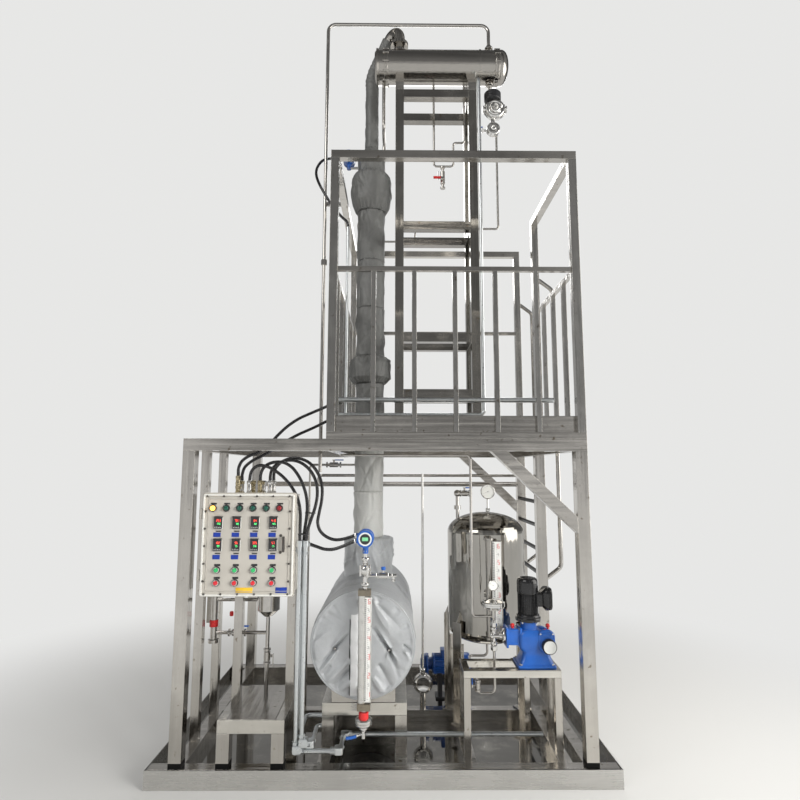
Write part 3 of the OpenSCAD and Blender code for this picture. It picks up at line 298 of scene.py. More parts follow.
# The tower's steel is darkened as painted shade, for the dimmer light high on the skid.
steel_tower_x = brushed("tower_steel_painted_shade_x", "x", (0.34, 0.325, 0.30))
steel_tower_z = brushed("tower_steel_painted_shade_z", "z", (0.37, 0.355, 0.325))
steel_stand = brushed("bright_steel_of_stand", "x", (0.74, 0.715, 0.66), 0.22)
steel_rail = brushed("steel_of_rail", "z", (0.57, 0.555, 0.525), 0.19)
tray_sheet = finish("stained_tray_sheet", (0.30, 0.29, 0.27), 0.16, 1.0, [
    clouds(2.2, 6, 0.25, 0.10),
    dict(scale=9, detail=8, grit=0.7, low=0.5, high=0.78, mix=(0.50, 0.48, 0.43), rough=0.12)])
tray_edge = finish("bright_tray_wall", (0.62, 0.61, 0.59), 0.27, 1.0, [
    dict(stretch=(1, 30, 30), scale=7, detail=5, tint=0.06, rough=0.05),
    clouds(2.4, 5, 0.08, 0.08)])
polished = finish("polished_shell", (0.42, 0.40, 0.37), 0.11, 1.0, [
    dict(stretch=(2, 30, 30), scale=10, detail=4, tint=0.05, rough=0.06, bump=0.00015),
    clouds(4, 3, 0.04, 0.04)])
mirror = finish("mirror_tank", (0.40, 0.385, 0.355), 0.07, 1.0, [
    dict(stretch=(6, 6, 1), scale=2.5, detail=3, tint=0.05, rough=0.03, bump=0.0012),
    clouds(5, 4, 0.03, 0.02)])
tube = finish("polished_tube", (0.56, 0.54, 0.51), 0.16, 1.0, [
    clouds(14, 4, 0.08, 0.07)])
zinc = finish("galvanised_conduit", (0.74, 0.77, 0.78), 0.31, 1.0, [
    clouds(60, 3, 0.05, 0.04), dict(scale=6, detail=4, tint=0.06)])

# %% [markdown]
# ## Cloth, paint and rubber
# Coated glass cloth shines a little like metal and has a fine weave, so it has some metallic
# weight and a very fine layer of noise. Enamel on a casting is slightly pitted like the skin of an
# orange, rubber is nearly black with a soft gleam, and plastic has only faint clouds.

# %% Cloth, paint, rubber and plastic
bright_cloth = finish("bright_silver_cloth", (0.475, 0.49, 0.505), 0.34, 0.45, [
    clouds(3.5, 5, 0.08, 0.06),
    dict(scale=900, detail=2, tint=0.05, bump=0.0003),
    dict(scale=22, detail=5, tint=0.04, bump=0.0015)])
white_cloth = finish("white_tape", (0.80, 0.81, 0.82), 0.45, 0.0, [
    clouds(9, 4, 0.05, 0.05), dict(scale=900, detail=2, tint=0.04, bump=0.0002)])
# Below 1.93 m the band paints the column's cloth pale: painted light, for the lower column lit from the
# front under the deck.
grey_cloth = finish("grey_cloth_painted_light_below", (0.19, 0.192, 0.187), 0.46, 0.2, [
    clouds(4.5, 5, 0.10, 0.06),
    dict(scale=900, detail=2, tint=0.05, bump=0.0003),
    dict(scale=30, detail=5, tint=0.05, bump=0.0015)],
    bands=[(0.0, 1.93, (0.54, 0.545, 0.53), 0.42, 1.0)])
panel_grey = finish("light_grey_enamel", (0.51, 0.485, 0.44), 0.36, 0.0, [
    clouds(5, 5, 0.035, 0.05), dict(scale=240, detail=2, bump=0.0002)])
# The door's raised rim is painted pale: painted light on its lit edges.
rim_painted_light = finish("rim_painted_light", (0.74, 0.735, 0.70), 0.34, 0.0, [clouds(5, 5, 0.035, 0.05)])
blue = finish("blue_enamel", (0.014, 0.10, 0.41), 0.32, 0.0, [
    clouds(12, 4, 0.12, 0.06), dict(scale=160, detail=2, bump=0.0003)], Coat_Weight=0.3)
black = finish("black_enamel", (0.018, 0.018, 0.02), 0.38, 0.0, [
    clouds(30, 4, 0.3, 0.08)])
gloss_black = finish("gloss_black_enamel", (0.010, 0.010, 0.011), 0.22, 0.0, [
    clouds(40, 4, 0.3, 0.08)], Coat_Weight=0.4)
brass = finish("nickel_brass", (0.55, 0.47, 0.30), 0.28, 1.0, [clouds(40, 3, 0.12, 0.08)])
rubber = finish("black_hose", (0.012, 0.012, 0.013), 0.26, 0.0, [clouds(60, 3, 0.3, 0.08)], Coat_Weight=0.5)
white_dial = finish("white_dial", (0.80, 0.80, 0.77), 0.3, 0.0, [dict(scale=20, detail=2, tint=0.02)])
dark_plastic = finish("dark_plastic", (0.03, 0.03, 0.032), 0.35, 0.0, [clouds(50, 2, 0.2, 0.05)])

# %% [markdown]
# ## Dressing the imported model
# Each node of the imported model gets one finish. A node that a later piece stands for is dressed
# too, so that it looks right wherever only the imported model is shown.

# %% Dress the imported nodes
dress = {
    steel_z: ["posts", "stand_legs", "rack_posts", "receiver_legs"],
    steel_rail: ["rail_posts", "balusters"],
    steel_tower_z: ["tower_uprights"],
    steel_tower_x: ["tower_bars"],
    steel_stand: ["stand_beams"],
    steel_x: ["main_beams", "base_rails", "braces", "deck_edge", "top_rails", "mid_rails",
              "toe_boards", "condenser_saddles", "still_saddles"],
    steel_y: ["deck", "stand_plates"],
    tray_sheet: ["tray_floor"],
    tray_edge: ["tray_walls"],
    polished: ["condenser_shell", "condenser_ends", "vapour_elbow"],
    mirror: ["receiver_shell", "receiver_heads"],
    tube: ["vent_line", "feed_line", "return_lines", "back_pipes", "riser", "hand_rails", "reflux_valve",
           "level_gauge", "gauge_valves", "receiver_gauge", "small_vessel", "pump_head"],
    zinc: ["conduits"],
    bright_cloth: ["still_body", "still_collar"],
    grey_cloth: ["column", "flange_jackets", "vapour_line"],
    panel_grey: ["control_panel", "panel_door"],
    blue: ["pump_body", "transfer_pump", "transmitters"],
    black: ["pump_motor", "ladder_rungs"],
    brass: ["cable_glands"],
    white_dial: ["pressure_gauges"],
    dark_plastic: ["panel_devices"],
}
for material, names in dress.items():
    for name in names:
        nodes[name].data.materials.clear()
        nodes[name].data.materials.append(material)
print("dressed", sum(len(v) for v in dress.values()), "nodes")

# %% [markdown]
# ## Surfaces from two numbers
# Nearly every fitting on a plant is either turned on a lathe, swept along a line or pressed from
# a sheet with rounded corners. All three are grids of points: one number goes round, the other
# goes along. Blender's primitives would need many edits to get there, so the grids are worked
# out with numpy and handed to the mesh in one go.

# %% Put grids into a mesh
def make_piece(name, patches, materials, node=(), angle=38):
    """Joins patches into one riding piece. A patch is a dict with grid (rows, columns, 3), closed by
    default: columns join into rings and both ends get a cap. loop=True joins the last ring to
    the first instead, and paint names its material, else the first of the piece's. A patch whose
    signed volume, one sixth of the sum of a . (b x c) over its triangles, is negative is turned
    the right way round."""
    points, faces, paints, first = [], [], [], 0
    for patch in patches:
        grid = np.asarray(patch["grid"], float)
        rows, columns = grid.shape[:2]
        index = np.arange(rows * columns).reshape(rows, columns)
        wide = np.concatenate([index, index[:, :1]], 1)
        if patch.get("loop"):
            wide = np.concatenate([wide, wide[:1]], 0)
        corners = wide[:-1, :-1], wide[:-1, 1:], wide[1:, 1:], wide[1:, :-1]
        quads = np.stack(corners, -1).reshape(-1, 4)
        caps = [] if patch.get("loop") else [index[0][::-1], index[-1]]
        flat = grid.reshape(-1, 3) - grid.reshape(-1, 3).mean(0)
        a, b, c, d = (flat[quads[:, k]] for k in range(4))
        volume = np.sum(a * np.cross(b, c)) + np.sum(a * np.cross(c, d))
        for cap in caps:
            p = flat[cap]
            volume += np.sum(p[0] * np.cross(p[1:-1], p[2:]))
        if volume < 0:
            quads, caps = quads[:, ::-1], [cap[::-1] for cap in caps]
        faces += (quads + first).tolist() + [(cap + first).tolist() for cap in caps]
        paint = materials.index(patch["paint"]) if patch.get("paint") else 0
        paints += [paint] * (len(quads) + len(caps))
        points.append(grid.reshape(-1, 3))
        first += rows * columns
    mesh = bpy.data.meshes.new(name)
    mesh.from_pydata(np.concatenate(points), [], faces)
    for material in materials:
        mesh.materials.append(material)
    mesh.polygons.foreach_set("material_index", np.array(paints, np.int32))
    mesh.update()
    mesh.shade_smooth()
    mesh.set_sharp_from_angle(angle=math.radians(angle))
    piece = bpy.data.objects.new(name, mesh)
    bpy.context.scene.collection.objects.link(piece)
    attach(piece, "root")
    if node:
        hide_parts(*([node] if isinstance(node, str) else node))
    return piece


# %% Turned, swept and pressed shapes
AXES = {"x": ((0, 1, 0), (0, 0, 1), (1, 0, 0)), "y": ((1, 0, 0), (0, 0, 1), (0, 1, 0)),
        "z": ((1, 0, 0), (0, 1, 0), (0, 0, 1))}


def basis(axis):
    """Two directions across and one along: a letter, or any vector w with u = w x up made unit."""
    if isinstance(axis, str):
        return [np.array(v, float) for v in AXES[axis]]
    w = np.array(axis, float) / np.linalg.norm(axis)
    u = np.cross(w, (0, 0, 1) if abs(w[2]) < 0.9 else (0, 1, 0))
    u /= np.linalg.norm(u)
    return [u, np.cross(w, u), w]


def circle(t, u, v):
    """The unit circle cos t u + sin t v; u and v are one pair, or one pair for each row."""
    return np.cos(t)[:, None] * u + np.sin(t)[:, None] * v


def full_turn(n):
    """n equal angles round a circle."""
    return np.linspace(0, 2 * np.pi, n, endpoint=False)


def turned(profile, place, axis="z", n=40, **flags):
    """A profile of (radius, height) turned round an axis: point = place + r cos t u + r sin t v + h w."""
    u, v, w = basis(axis)
    r, h = np.array(profile, float).T[:, :, None, None]
    return dict(grid=np.array(place, float) + r * circle(full_turn(n), u, v) + h * w, **flags)


def rod(r, low, high, place, axis="z", n=40, **flags):
    """A plain round bar of radius r between two heights."""
    return turned([(r, low), (r, high)], place, axis, n, **flags)


def around(count, radius, center, axis="z", start=0.5):
    """Places round an axis: number k is at the angle (k + start) times a full turn over count."""
    u, v, _ = basis(axis)
    t = (np.arange(count) + start) * 2 * np.pi / count
    return np.array(center, float) + radius * circle(t, u, v)


def loft(levels, place, axis="z", n=7, **flags):
    """Rounded rectangles (half width a, half depth b, corner radius r, shift x, height h), one ring
    each: a corner centre plus r (cos t, sin t) for each quarter."""
    u, v, w = basis(axis)
    a, b, r, dx, h = np.array(levels, float).T[:, :, None]
    q = (np.arange(4)[:, None] * np.pi / 2 + np.linspace(0, np.pi / 2, n)).ravel()
    sx, sy = np.repeat([1, -1, -1, 1], n), np.repeat([1, 1, -1, -1], n)
    x = dx + sx * (a - r) + r * np.cos(q)
    y = sy * (b - r) + r * np.sin(q)
    grid = np.array(place, float) + x[..., None] * u + y[..., None] * v + h[..., None] * w
    return dict(grid=grid, **flags)


def pressed(size, corner, levels, place, axis="y", n=6, **flags):
    """A rounded rectangle of (width, height) carried through levels of (inset, depth): the inset
    shrinks the sides and the corner's radius, which stays above 0.4 mm."""
    rings = []
    for inset, depth in levels:
        a, b = size[0] / 2 - inset, size[1] / 2 - inset
        rings.append((a, b, max(min(corner - inset, a, b), 0.0004), 0, depth))
    return loft(rings, place, axis, n, **flags)


def carry(path):
    """Unit tangents of a path, and a side of each that turns as little as it can from point to point."""
    path = np.asarray(path, float)
    ahead = np.gradient(path, axis=0)
    ahead /= np.linalg.norm(ahead, axis=1)[:, None]
    side = np.empty_like(ahead)
    side[0] = basis(ahead[0])[0]
    for i in range(1, len(path)):
        s = side[i - 1] - ahead[i] * (side[i - 1] @ ahead[i])
        side[i] = s / np.linalg.norm(s)
    return ahead, side, np.cross(ahead, side)


def swept(path, radius, n=12, **flags):
    """A ring of radius r (one number, or one for each point) carried along a path."""
    path = np.asarray(path, float)
    ahead, side, up = carry(path)
    r = np.broadcast_to(radius, (len(path),))[:, None, None]
    return dict(grid=path[:, None] + r * circle(full_turn(n), side[:, None], up[:, None]), **flags)


def smooth_line(points, per=4):
    """A curve through the points: for each stretch the usual cubic of its two points and the two
    beside them (half the difference of the neighbours is the slope)."""
    p = np.array(points, float)
    p = np.concatenate([2 * p[:1] - p[1:2], p, 2 * p[-1:] - p[-2:-1]])
    s = np.linspace(0, 1, per, endpoint=False)[None, :, None]
    a, b, c, d = p[:-3, None], p[1:-2, None], p[2:-1, None], p[3:, None]
    line = 0.5 * (2 * b + (c - a) * s + (2 * a - 5 * b + 4 * c - d) * s ** 2
                  + (3 * b - a - 3 * c + d) * s ** 3)
    return np.concatenate([line.reshape(-1, 3), p[-2:-1]])


def along_line(path, step):
    """Points at equal steps along a path, with the path's own ends."""
    gaps = np.linalg.norm(np.diff(path, axis=0), axis=1)
    run = np.concatenate([[0], np.cumsum(gaps)])
    at = np.linspace(0, run[-1], max(2, int(round(run[-1] / step)) + 1))
    return np.stack([np.interp(at, run, path[:, k]) for k in range(3)], 1), at


print("helpers ready")

# %% [markdown]
# ## Ribbed hoses
# The cables run in black corrugated hose. The ribs catch the light all along the hose, so they
# are modelled: the radius goes down and up once for each rib. A bump map would leave the
# outline smooth, which shows on a hose this thick.

# %% Lay the hoses
def hose(name, route, node):
    """Radius = 10 mm less 1.2 mm at every other ring, one rib each 4 mm, and a plain cuff that
    tapers from each end over 30 mm. The line is one smooth curve through the route."""
    line = smooth_line(np.array(route) / 1000.0, 8)
    fine, at = along_line(line, 0.0020)
    radius = 0.0100 - 0.0012 * (np.arange(len(at)) % 2)
    cuff = np.minimum(at, at[-1] - at)
    radius = np.where(cuff < 0.030, 0.0100 - 0.0005 * cuff / 0.030, radius)
    piece = make_piece(name, [swept(fine, radius, 12)], [rubber], node, angle=80)


hose("panel_hose_a", [[-893, -685, 1680], [-893, -685, 1724], [-876, -679, 1767], [-838, -662, 1799],
     [-788, -630, 1824], [-736, -585, 1872], [-690, -545, 1934], [-640, -505, 1992], [-575, -462, 2046],
     [-490, -412, 2094], [-410, -370, 2136], [-330, -349, 2186]], "hose_conduit_a")
hose("panel_hose_b", [[-881, -640, 1651], [-881, -640, 1690], [-866, -636, 1734], [-828, -620, 1770],
     [-775, -592, 1802], [-715, -555, 1842], [-650, -508, 1894], [-575, -458, 1944], [-490, -406, 1990],
     [-410, -366, 2036], [-330, -345, 2086]], "hose_conduit_b")
hose("arc_hose_inner", [[-824, -685, 1651], [-817, -688, 1697], [-795, -698, 1726], [-762, -709, 1741],
     [-714, -720, 1735], [-662, -730, 1710], [-606, -741, 1668], [-556, -749, 1612], [-518, -756, 1542],
     [-499, -776, 1467], [-496, -788, 1388], [-495, -790, 1309]], "hose_down")
hose("arc_hose_middle", [[-760, -685, 1651], [-758, -686, 1686], [-744, -691, 1722], [-712, -699, 1749],
     [-664, -709, 1762], [-610, -720, 1757], [-556, -733, 1724], [-508, -745, 1660], [-474, -754, 1580],
     [-462, -759, 1500], [-466, -760, 1425], [-475, -758, 1360], [-477, -757, 1309]], "hose_down")
hose("arc_hose_outer", [[-700, -685, 1651], [-699, -685, 1686], [-688, -684, 1722], [-658, -684, 1752],
     [-612, -686, 1770], [-556, -693, 1771], [-500, -706, 1750], [-448, -726, 1704], [-414, -748, 1642],
     [-403, -767, 1572], [-412, -781, 1500], [-434, -788, 1428], [-454, -790, 1362], [-460, -790, 1309]],
     "hose_down")
hose("level_hose_upper", [[-688, -640, 1651], [-687, -641, 1694], [-672, -645, 1734], [-632, -652, 1768],
     [-576, -662, 1786], [-512, -678, 1780], [-452, -702, 1748], [-403, -729, 1688], [-378, -751, 1616],
     [-377, -762, 1540], [-389, -768, 1470], [-397, -770, 1410], [-380, -769, 1360], [-340, -766, 1326],
     [-290, -764, 1311], [-230, -764, 1319], [-178, -764, 1337]], "hose_level")
hose("level_hose_lower", [[-434, -790, 1288], [-398, -791, 1276], [-352, -794, 1262], [-300, -798, 1262],
     [-238, -802, 1282], [-178, -804, 1309]], "hose_level")
hose("top_hose", [[-380, 60, 4151], [-440, 40, 4148], [-505, -20, 4100], [-535, -110, 4000],
     [-535, -200, 3890], [-505, -270, 3780], [-450, -300, 3670], [-390, -300, 3575], [-330, -300, 3505],
     [-294, -300, 3470], [-285, -300, 3430]], "hose_top")

# %% Tie the bundle
def tie(centers, r, z, tall=0.006, thick=0.0016, n=96):
    """A strap round several hoses: in each direction u the hose that reaches furthest holds the
    strap, at its centre plus r u, which traces the tight outline of them all."""
    t = full_turn(n)
    u = np.stack([np.cos(t), np.sin(t)], 1)
    c = np.array(centers)
    held = c[np.argmax(c @ u.T, axis=0)]
    ring = [np.column_stack([held + (r + d) * u, np.full(n, z + h)])
            for d, h in ((0, 0), (thick, 0), (thick, tall), (0, tall))]
    return dict(grid=np.stack(ring, 1), loop=True)


make_piece("hose_ties", [tie(((-0.4955, -0.7890), (-0.4760, -0.7575), (-0.4570, -0.7900)), 0.0105, 1.342),
                         tie(((-0.4620, -0.7590), (-0.4210, -0.7845)), 0.0105, 1.462)],
           [dark_plastic], angle=50)

# %% [markdown]
# ## Padded jackets
# The still, the column and the hot vapour line wear sewn jackets: silver-faced cloth over
# soft mat, in sleeves with piped seams. The pull of the seams makes folds that fan out
# and die away. Simulated cloth would give random folds, so here they are placed where the real
# ones are: each fold is a ridge whose height falls off with the distance from its line.

# %% Folds as functions
def wave_noise(seed, count, low, high, a, b):
    """Sum of count sine waves over the two coordinates a and b, with seeded directions and
    wavelengths between low and high, scaled so that its spread is about one."""
    rng = np.random.default_rng(seed)
    way = rng.uniform(0, 2 * np.pi, count)
    k = 2 * np.pi / rng.uniform(low, high, count)
    shift = rng.uniform(0, 2 * np.pi, count)
    total = np.zeros(np.broadcast(a, b).shape)
    for j in range(count):
        total += np.sin(k[j] * (np.cos(way[j]) * a + np.sin(way[j]) * b) + shift[j])
    return total * math.sqrt(2.0 / count)


def creases(seed, count, a, b, span_a, span_b, long, wide, slant=0.4):
    """Sharp folds: each is exp(-(across / wide)^2 - (along / long)^2) round a seeded point, with its
    line within slant radians of the b direction and its sign seeded too."""
    rng = np.random.default_rng(seed)
    total = np.zeros(np.broadcast(a, b).shape)
    for j in range(count):
        ca, cb = rng.uniform(*span_a), rng.uniform(*span_b)
        t = rng.uniform(-slant, slant)
        l, w = long * rng.uniform(0.6, 1.5), wide * rng.uniform(0.7, 1.4)
        along = (b - cb) * math.cos(t) + (a - ca) * math.sin(t)
        across = (a - ca) * math.cos(t) - (b - cb) * math.sin(t)
        total += rng.choice([-1.0, 1.0]) * np.exp(-(across / w) ** 2 - (along / l) ** 2)
    return total


def sleeve(center, levels, relief, n=160, rows=None):
    """A closed upright sleeve: radius from levels of (height, radius), then relief(arc, height,
    radius) in metres is added to the radius, where arc is the way round at the widest level."""
    u, v, w = basis("z")
    h, r = np.array(levels, float).T
    run = np.concatenate([[0], np.cumsum(np.hypot(np.diff(h), np.diff(r)))])
    at = np.linspace(0, run[-1], rows or max(8, int(run[-1] / 0.008)))
    h, r = np.interp(at, run, h), np.interp(at, run, r)
    t = full_turn(n)
    arc, level = np.broadcast_arrays(t[None, :] * r.max(), h[:, None])
    full = r[:, None] + relief(arc, level, r[:, None])
    return dict(grid=np.array(center, float) + full[..., None] * circle(t, u, v) + h[:, None, None] * w)


# %% Jacket of the column
COLUMN = (-0.139, 0.080)


def column_relief(seed, low, high, gather=0.0016):
    """Soft dents, upright creases, and gathers (ripples round the sleeve) that fade away from both
    ends. The cloth lies 1 mm inside the levels."""
    def relief(arc, h, r):
        soft = 0.0022 * wave_noise(seed, 9, 0.12, 0.40, arc, h)
        lines = 0.0055 * creases(seed + 1, 46, arc, h, (0, arc.max()), (low, high), 0.07, 0.011, 0.7)
        ends = np.exp(-((h - low) / 0.05) ** 2) + np.exp(-((h - high) / 0.05) ** 2)
        ripple = gather * ends * np.sin(arc * 2 * np.pi / 0.031 + 2.5 * np.sin(arc * 9 + seed))
        shade = np.clip(r / 0.1, 0, 1)
        return (soft + lines + ripple) * shade - 0.001
    return relief


def straight(low, high, r, lip=0.006):
    """Levels of a straight sleeve whose hems turn in by lip."""
    return [(low, r - lip), (low + 0.004, r - 0.001), (high - 0.004, r - 0.001), (high, r - lip)]


SLEEVE_R = 0.107
lower = [straight(*ends, SLEEVE_R) for ends in ((1.235, 1.560), (1.560, 1.940), (1.940, 2.358))]
upper = [straight(*ends, SLEEVE_R) for ends in ((2.563, 2.935), (2.935, 3.310), (3.310, 3.708))]
shoulder_cap = [(4.028, 0.101), (4.034, 0.106), (4.150, 0.106), (4.246, 0.054), (4.2465, 0.048)]
patches = [sleeve((*COLUMN, 0), levels, column_relief(11 + 7 * k, levels[0][0], levels[-1][0]), 144)
           for k, levels in enumerate(lower + upper + [shoulder_cap])]
column = make_piece("column_jacket", patches, [grey_cloth], "column", angle=70)
print("column jacket", len(column.data.polygons), "faces")

# %% Jackets over the flanges
low_levels = [(2.358, 0.075), (2.3585, 0.118), (2.400, 0.157), (2.508, 0.157), (2.540, 0.145),
              (2.562, 0.120), (2.563, 0.075)]
top_levels = [(3.708, 0.075), (3.7085, 0.114), (3.732, 0.126), (3.778, 0.151), (3.804, 0.157),
              (3.958, 0.157), (3.993, 0.147), (4.027, 0.124), (4.028, 0.075)]


def jacket_relief(seed, low, high):
    """Gathers fan from the drawstring at each hem: a ripple round the sleeve that is strongest at
    the hems and fades over 60 mm, with soft dents and a few slanting creases on the belly."""
    def relief(arc, h, r):
        soft = 0.0026 * wave_noise(seed, 9, 0.10, 0.30, arc, h)
        lines = 0.0070 * creases(seed + 1, 34, arc, h, (0, arc.max()), (low, high), 0.06, 0.010, 0.9)
        near = np.exp(-((h - low) / 0.055) ** 2) + np.exp(-((h - high) / 0.050) ** 2)
        ripple = 0.0055 * near * np.sin(arc * 2 * np.pi / 0.036 + 2.2 * np.sin(arc * 7 + seed))
        return (soft + lines + ripple) * np.clip((r - 0.075) / 0.04, 0, 1) - 0.0015
    return relief


flange = make_piece("flange_jacket", [
    sleeve((*COLUMN, 0), low_levels, jacket_relief(31, 2.358, 2.563), 176, 56),
    sleeve((*COLUMN, 0), top_levels, jacket_relief(47, 3.708, 4.028), 176, 72)],
    [grey_cloth], "flange_jackets", angle=70)
print("flange jackets", len(flange.data.polygons), "faces")

# %% Jacket of the vapour line
def rounded(points, radius, steps=9):
    """A line of straight runs with each corner b replaced by an arc of the radius: it starts
    r tan(g / 2) before b, and its points are s + r (sin t u + (1 - cos t) w)."""
    p = [np.array(q, float) for q in points]
    line = [p[0]]
    for a, b, c in zip(p, p[1:], p[2:]):
        u, v = (b - a) / np.linalg.norm(b - a), (c - b) / np.linalg.norm(c - b)
        g = math.acos(np.clip(u @ v, -1, 1))
        w = np.cross(np.cross(u, v), u)
        w /= np.linalg.norm(w)
        t = np.linspace(0, g, steps)[:, None]
        line += list(b - u * radius * math.tan(g / 2) + radius * (np.sin(t) * u + (1 - np.cos(t)) * w))
    return np.array(line + [p[-1]])


NOZZLE = (0.077, -0.162)
PIPE_R, PADDED_R, ELBOW_BEND, ROUND = 0.0515, 0.054, 0.070, 88
vertex = np.array([*NOZZLE, 5.180])
shoulder = np.array([*COLUMN, 4.870])
slope = (vertex - shoulder) / np.linalg.norm(vertex - shoulder)
cut = ELBOW_BEND * math.tan((math.pi - math.acos(slope[2])) / 2)
bent_line = rounded([(*COLUMN, 4.246), shoulder, vertex - slope * cut], 0.120)
vapour_path, vapour_run = along_line(bent_line, 0.006)
_, side, up = carry(vapour_path)
t = full_turn(ROUND)
arc, run = np.broadcast_arrays(t * PADDED_R, vapour_run[:, None])
bend_place = np.exp(-((run - 0.60) / 0.10) ** 2)
relief = (0.0016 * wave_noise(61, 9, 0.08, 0.25, arc, run)
          + 0.0028 * creases(62, 40, arc, run, (0, 0.34), (0, run.max()), 0.045, 0.009, 1.2)
          + 0.0022 * bend_place * np.sin(run * 2 * np.pi / 0.034 + 1.5 * np.sin(arc * 30)))
for place in (0.20, 0.43, 0.70):
    relief -= 0.004 * np.exp(-((run - place) / 0.004) ** 2)
hem = np.clip(np.minimum(vapour_run, vapour_run[-1] - vapour_run) / 0.006, 0, 1)[:, None]
radius = PIPE_R * (0.88 + 0.12 * hem) + relief * hem
grid = vapour_path[:, None] + radius[..., None] * circle(t, side[:, None], up[:, None])
vapour = make_piece("vapour_jacket", [dict(grid=grid)], [grey_cloth], "vapour_line",
                    angle=70)
print("vapour jacket length", round(float(vapour_run[-1]), 3))

# %% [markdown]
# ## The still's quilt
# The lying still wears a barrel of sewn cloth, closed in front by a round end cover. Cords pull
# the cover in at two points and a flap covers the seam between them, which gives the
# deep dimples and the folds that fan from them. The barrel is a tube along Y whose front
# end rolls over into the cover, so the outline stays one soft edge with piping round it.

# %% Folds of the end cover
TIES = ((-0.295, 0.681), (0.022, 0.671))
FOLDS = [(-0.298, 0.678, -0.404, 0.553, 0.010, -0.0149), (-0.284, 0.666, -0.362, 0.566, 0.012, 0.0095),
         (-0.290, 0.690, -0.211, 0.764, 0.010, -0.0121), (-0.306, 0.694, -0.236, 0.778, 0.014, 0.0068),
         (-0.217, 0.616, -0.371, 0.466, 0.020, 0.0135), (-0.211, 0.556, -0.333, 0.436, 0.020, -0.0135),
         (-0.323, 0.586, -0.391, 0.496, 0.015, -0.0095), (-0.207, 0.496, -0.265, 0.451, 0.018, 0.0108),
         (0.017, 0.678, -0.070, 0.791, 0.011, -0.0149), (0.028, 0.690, -0.043, 0.796, 0.014, 0.0095),
         (0.028, 0.664, 0.053, 0.624, 0.009, -0.0162), (0.024, 0.662, 0.080, 0.531, 0.014, -0.0121),
         (0.038, 0.666, 0.075, 0.616, 0.010, 0.0108), (0.015, 0.660, 0.007, 0.626, 0.010, 0.0081),
         (0.111, 0.698, 0.173, 0.643, 0.012, -0.0135), (0.117, 0.666, 0.154, 0.611, 0.014, 0.0095),
         (-0.066, 0.951, 0.028, 0.766, 0.022, 0.0121), (-0.043, 0.926, 0.082, 0.806, 0.020, -0.0108),
         (-0.066, 0.521, 0.001, 0.426, 0.018, 0.0135), (-0.034, 0.586, 0.044, 0.456, 0.022, -0.0095),
         (-0.333, 0.876, -0.227, 0.826, 0.022, -0.0054), (-0.410, 0.726, -0.323, 0.786, 0.020, 0.0054)]


def fold_lines(x, z):
    """Each fold runs from (x1, z1) to (x2, z2): height 0.55 exp(-(d / wide)^2) + 0.45 exp(-2 d / wide)
    of the distance d from that line, so its crest is sharp, and it dies away at its far end."""
    x1, z1, x2, z2, wide, high = np.array(FOLDS).T[:, :, None, None]
    run = np.hypot(x2 - x1, z2 - z1)
    t = np.clip(((x - x1) * (x2 - x1) + (z - z1) * (z2 - z1)) / run ** 2, 0, 1)
    away = np.hypot(x - x1 - t * (x2 - x1), z - z1 - t * (z2 - z1))
    wide = wide * (0.7 + 0.6 * t)
    crest = 0.55 * np.exp(-(away / wide) ** 2) + 0.45 * np.exp(-away / (0.5 * wide))
    return (high * (1 - 0.75 * t ** 2) * crest).sum(0)


# %% Lay out the cover and the barrel
STILL_X, STILL_Z, STILL_R = -0.131, 0.707, 0.310
COVER_Y, BACK_Y, ROLL = -0.700, 0.500, 0.018
COVER_RINGS, SIDE_RINGS, ROUND = 92, 120, 300
t = full_turn(ROUND)
roll_over = np.linspace(0, np.pi / 2, 9)[1:]
r0 = np.concatenate([np.linspace(0.003, 0.290, COVER_RINGS), 0.290 + ROLL * np.sin(roll_over),
                     np.full(SIDE_RINGS, 0.290 + ROLL), [0.295, 0.2]])[:, None]
y0 = np.concatenate([np.full(COVER_RINGS, COVER_Y), COVER_Y + ROLL * (1 - np.cos(roll_over)),
                     np.linspace(-0.672, BACK_Y, SIDE_RINGS), [BACK_Y, BACK_Y]])[:, None]
cover = (np.arange(len(r0)) < COVER_RINGS)[:, None]
barrel = (~cover) & (y0 > -0.66)


def still_place(r):
    """x and z at the radius r round the still's axis."""
    return STILL_X + r * np.cos(t), STILL_Z + r * np.sin(t)


# %% Press the folds into the cover
px, pz = still_place(r0)
dimple = np.zeros_like(px)
for cx, cz in TIES:
    away = np.hypot(px - cx, pz - cz)
    dimple += 0.014 * np.exp(-(away / 0.014) ** 2) + 0.012 * np.exp(-(away / 0.060) ** 2)
soft = 0.003 * wave_noise(71, 12, 0.16, 0.40, px, pz)
inside = np.clip((0.292 - r0) / 0.014, 0, 1)
rim_pull = np.maximum(np.sin(t * 17 + 1.5 * np.sin(t * 3)), 0) ** 2
scallop = 0.006 * np.clip((r0 - 0.21) / 0.07, 0, 1) * rim_pull
deep = np.where(cover, (dimple + soft + scallop - 1.5 * fold_lines(px, pz)) * inside, 0.0)
py = y0 + np.maximum(deep, -0.009)
print("deepest fold", round(float(deep.max()), 4))

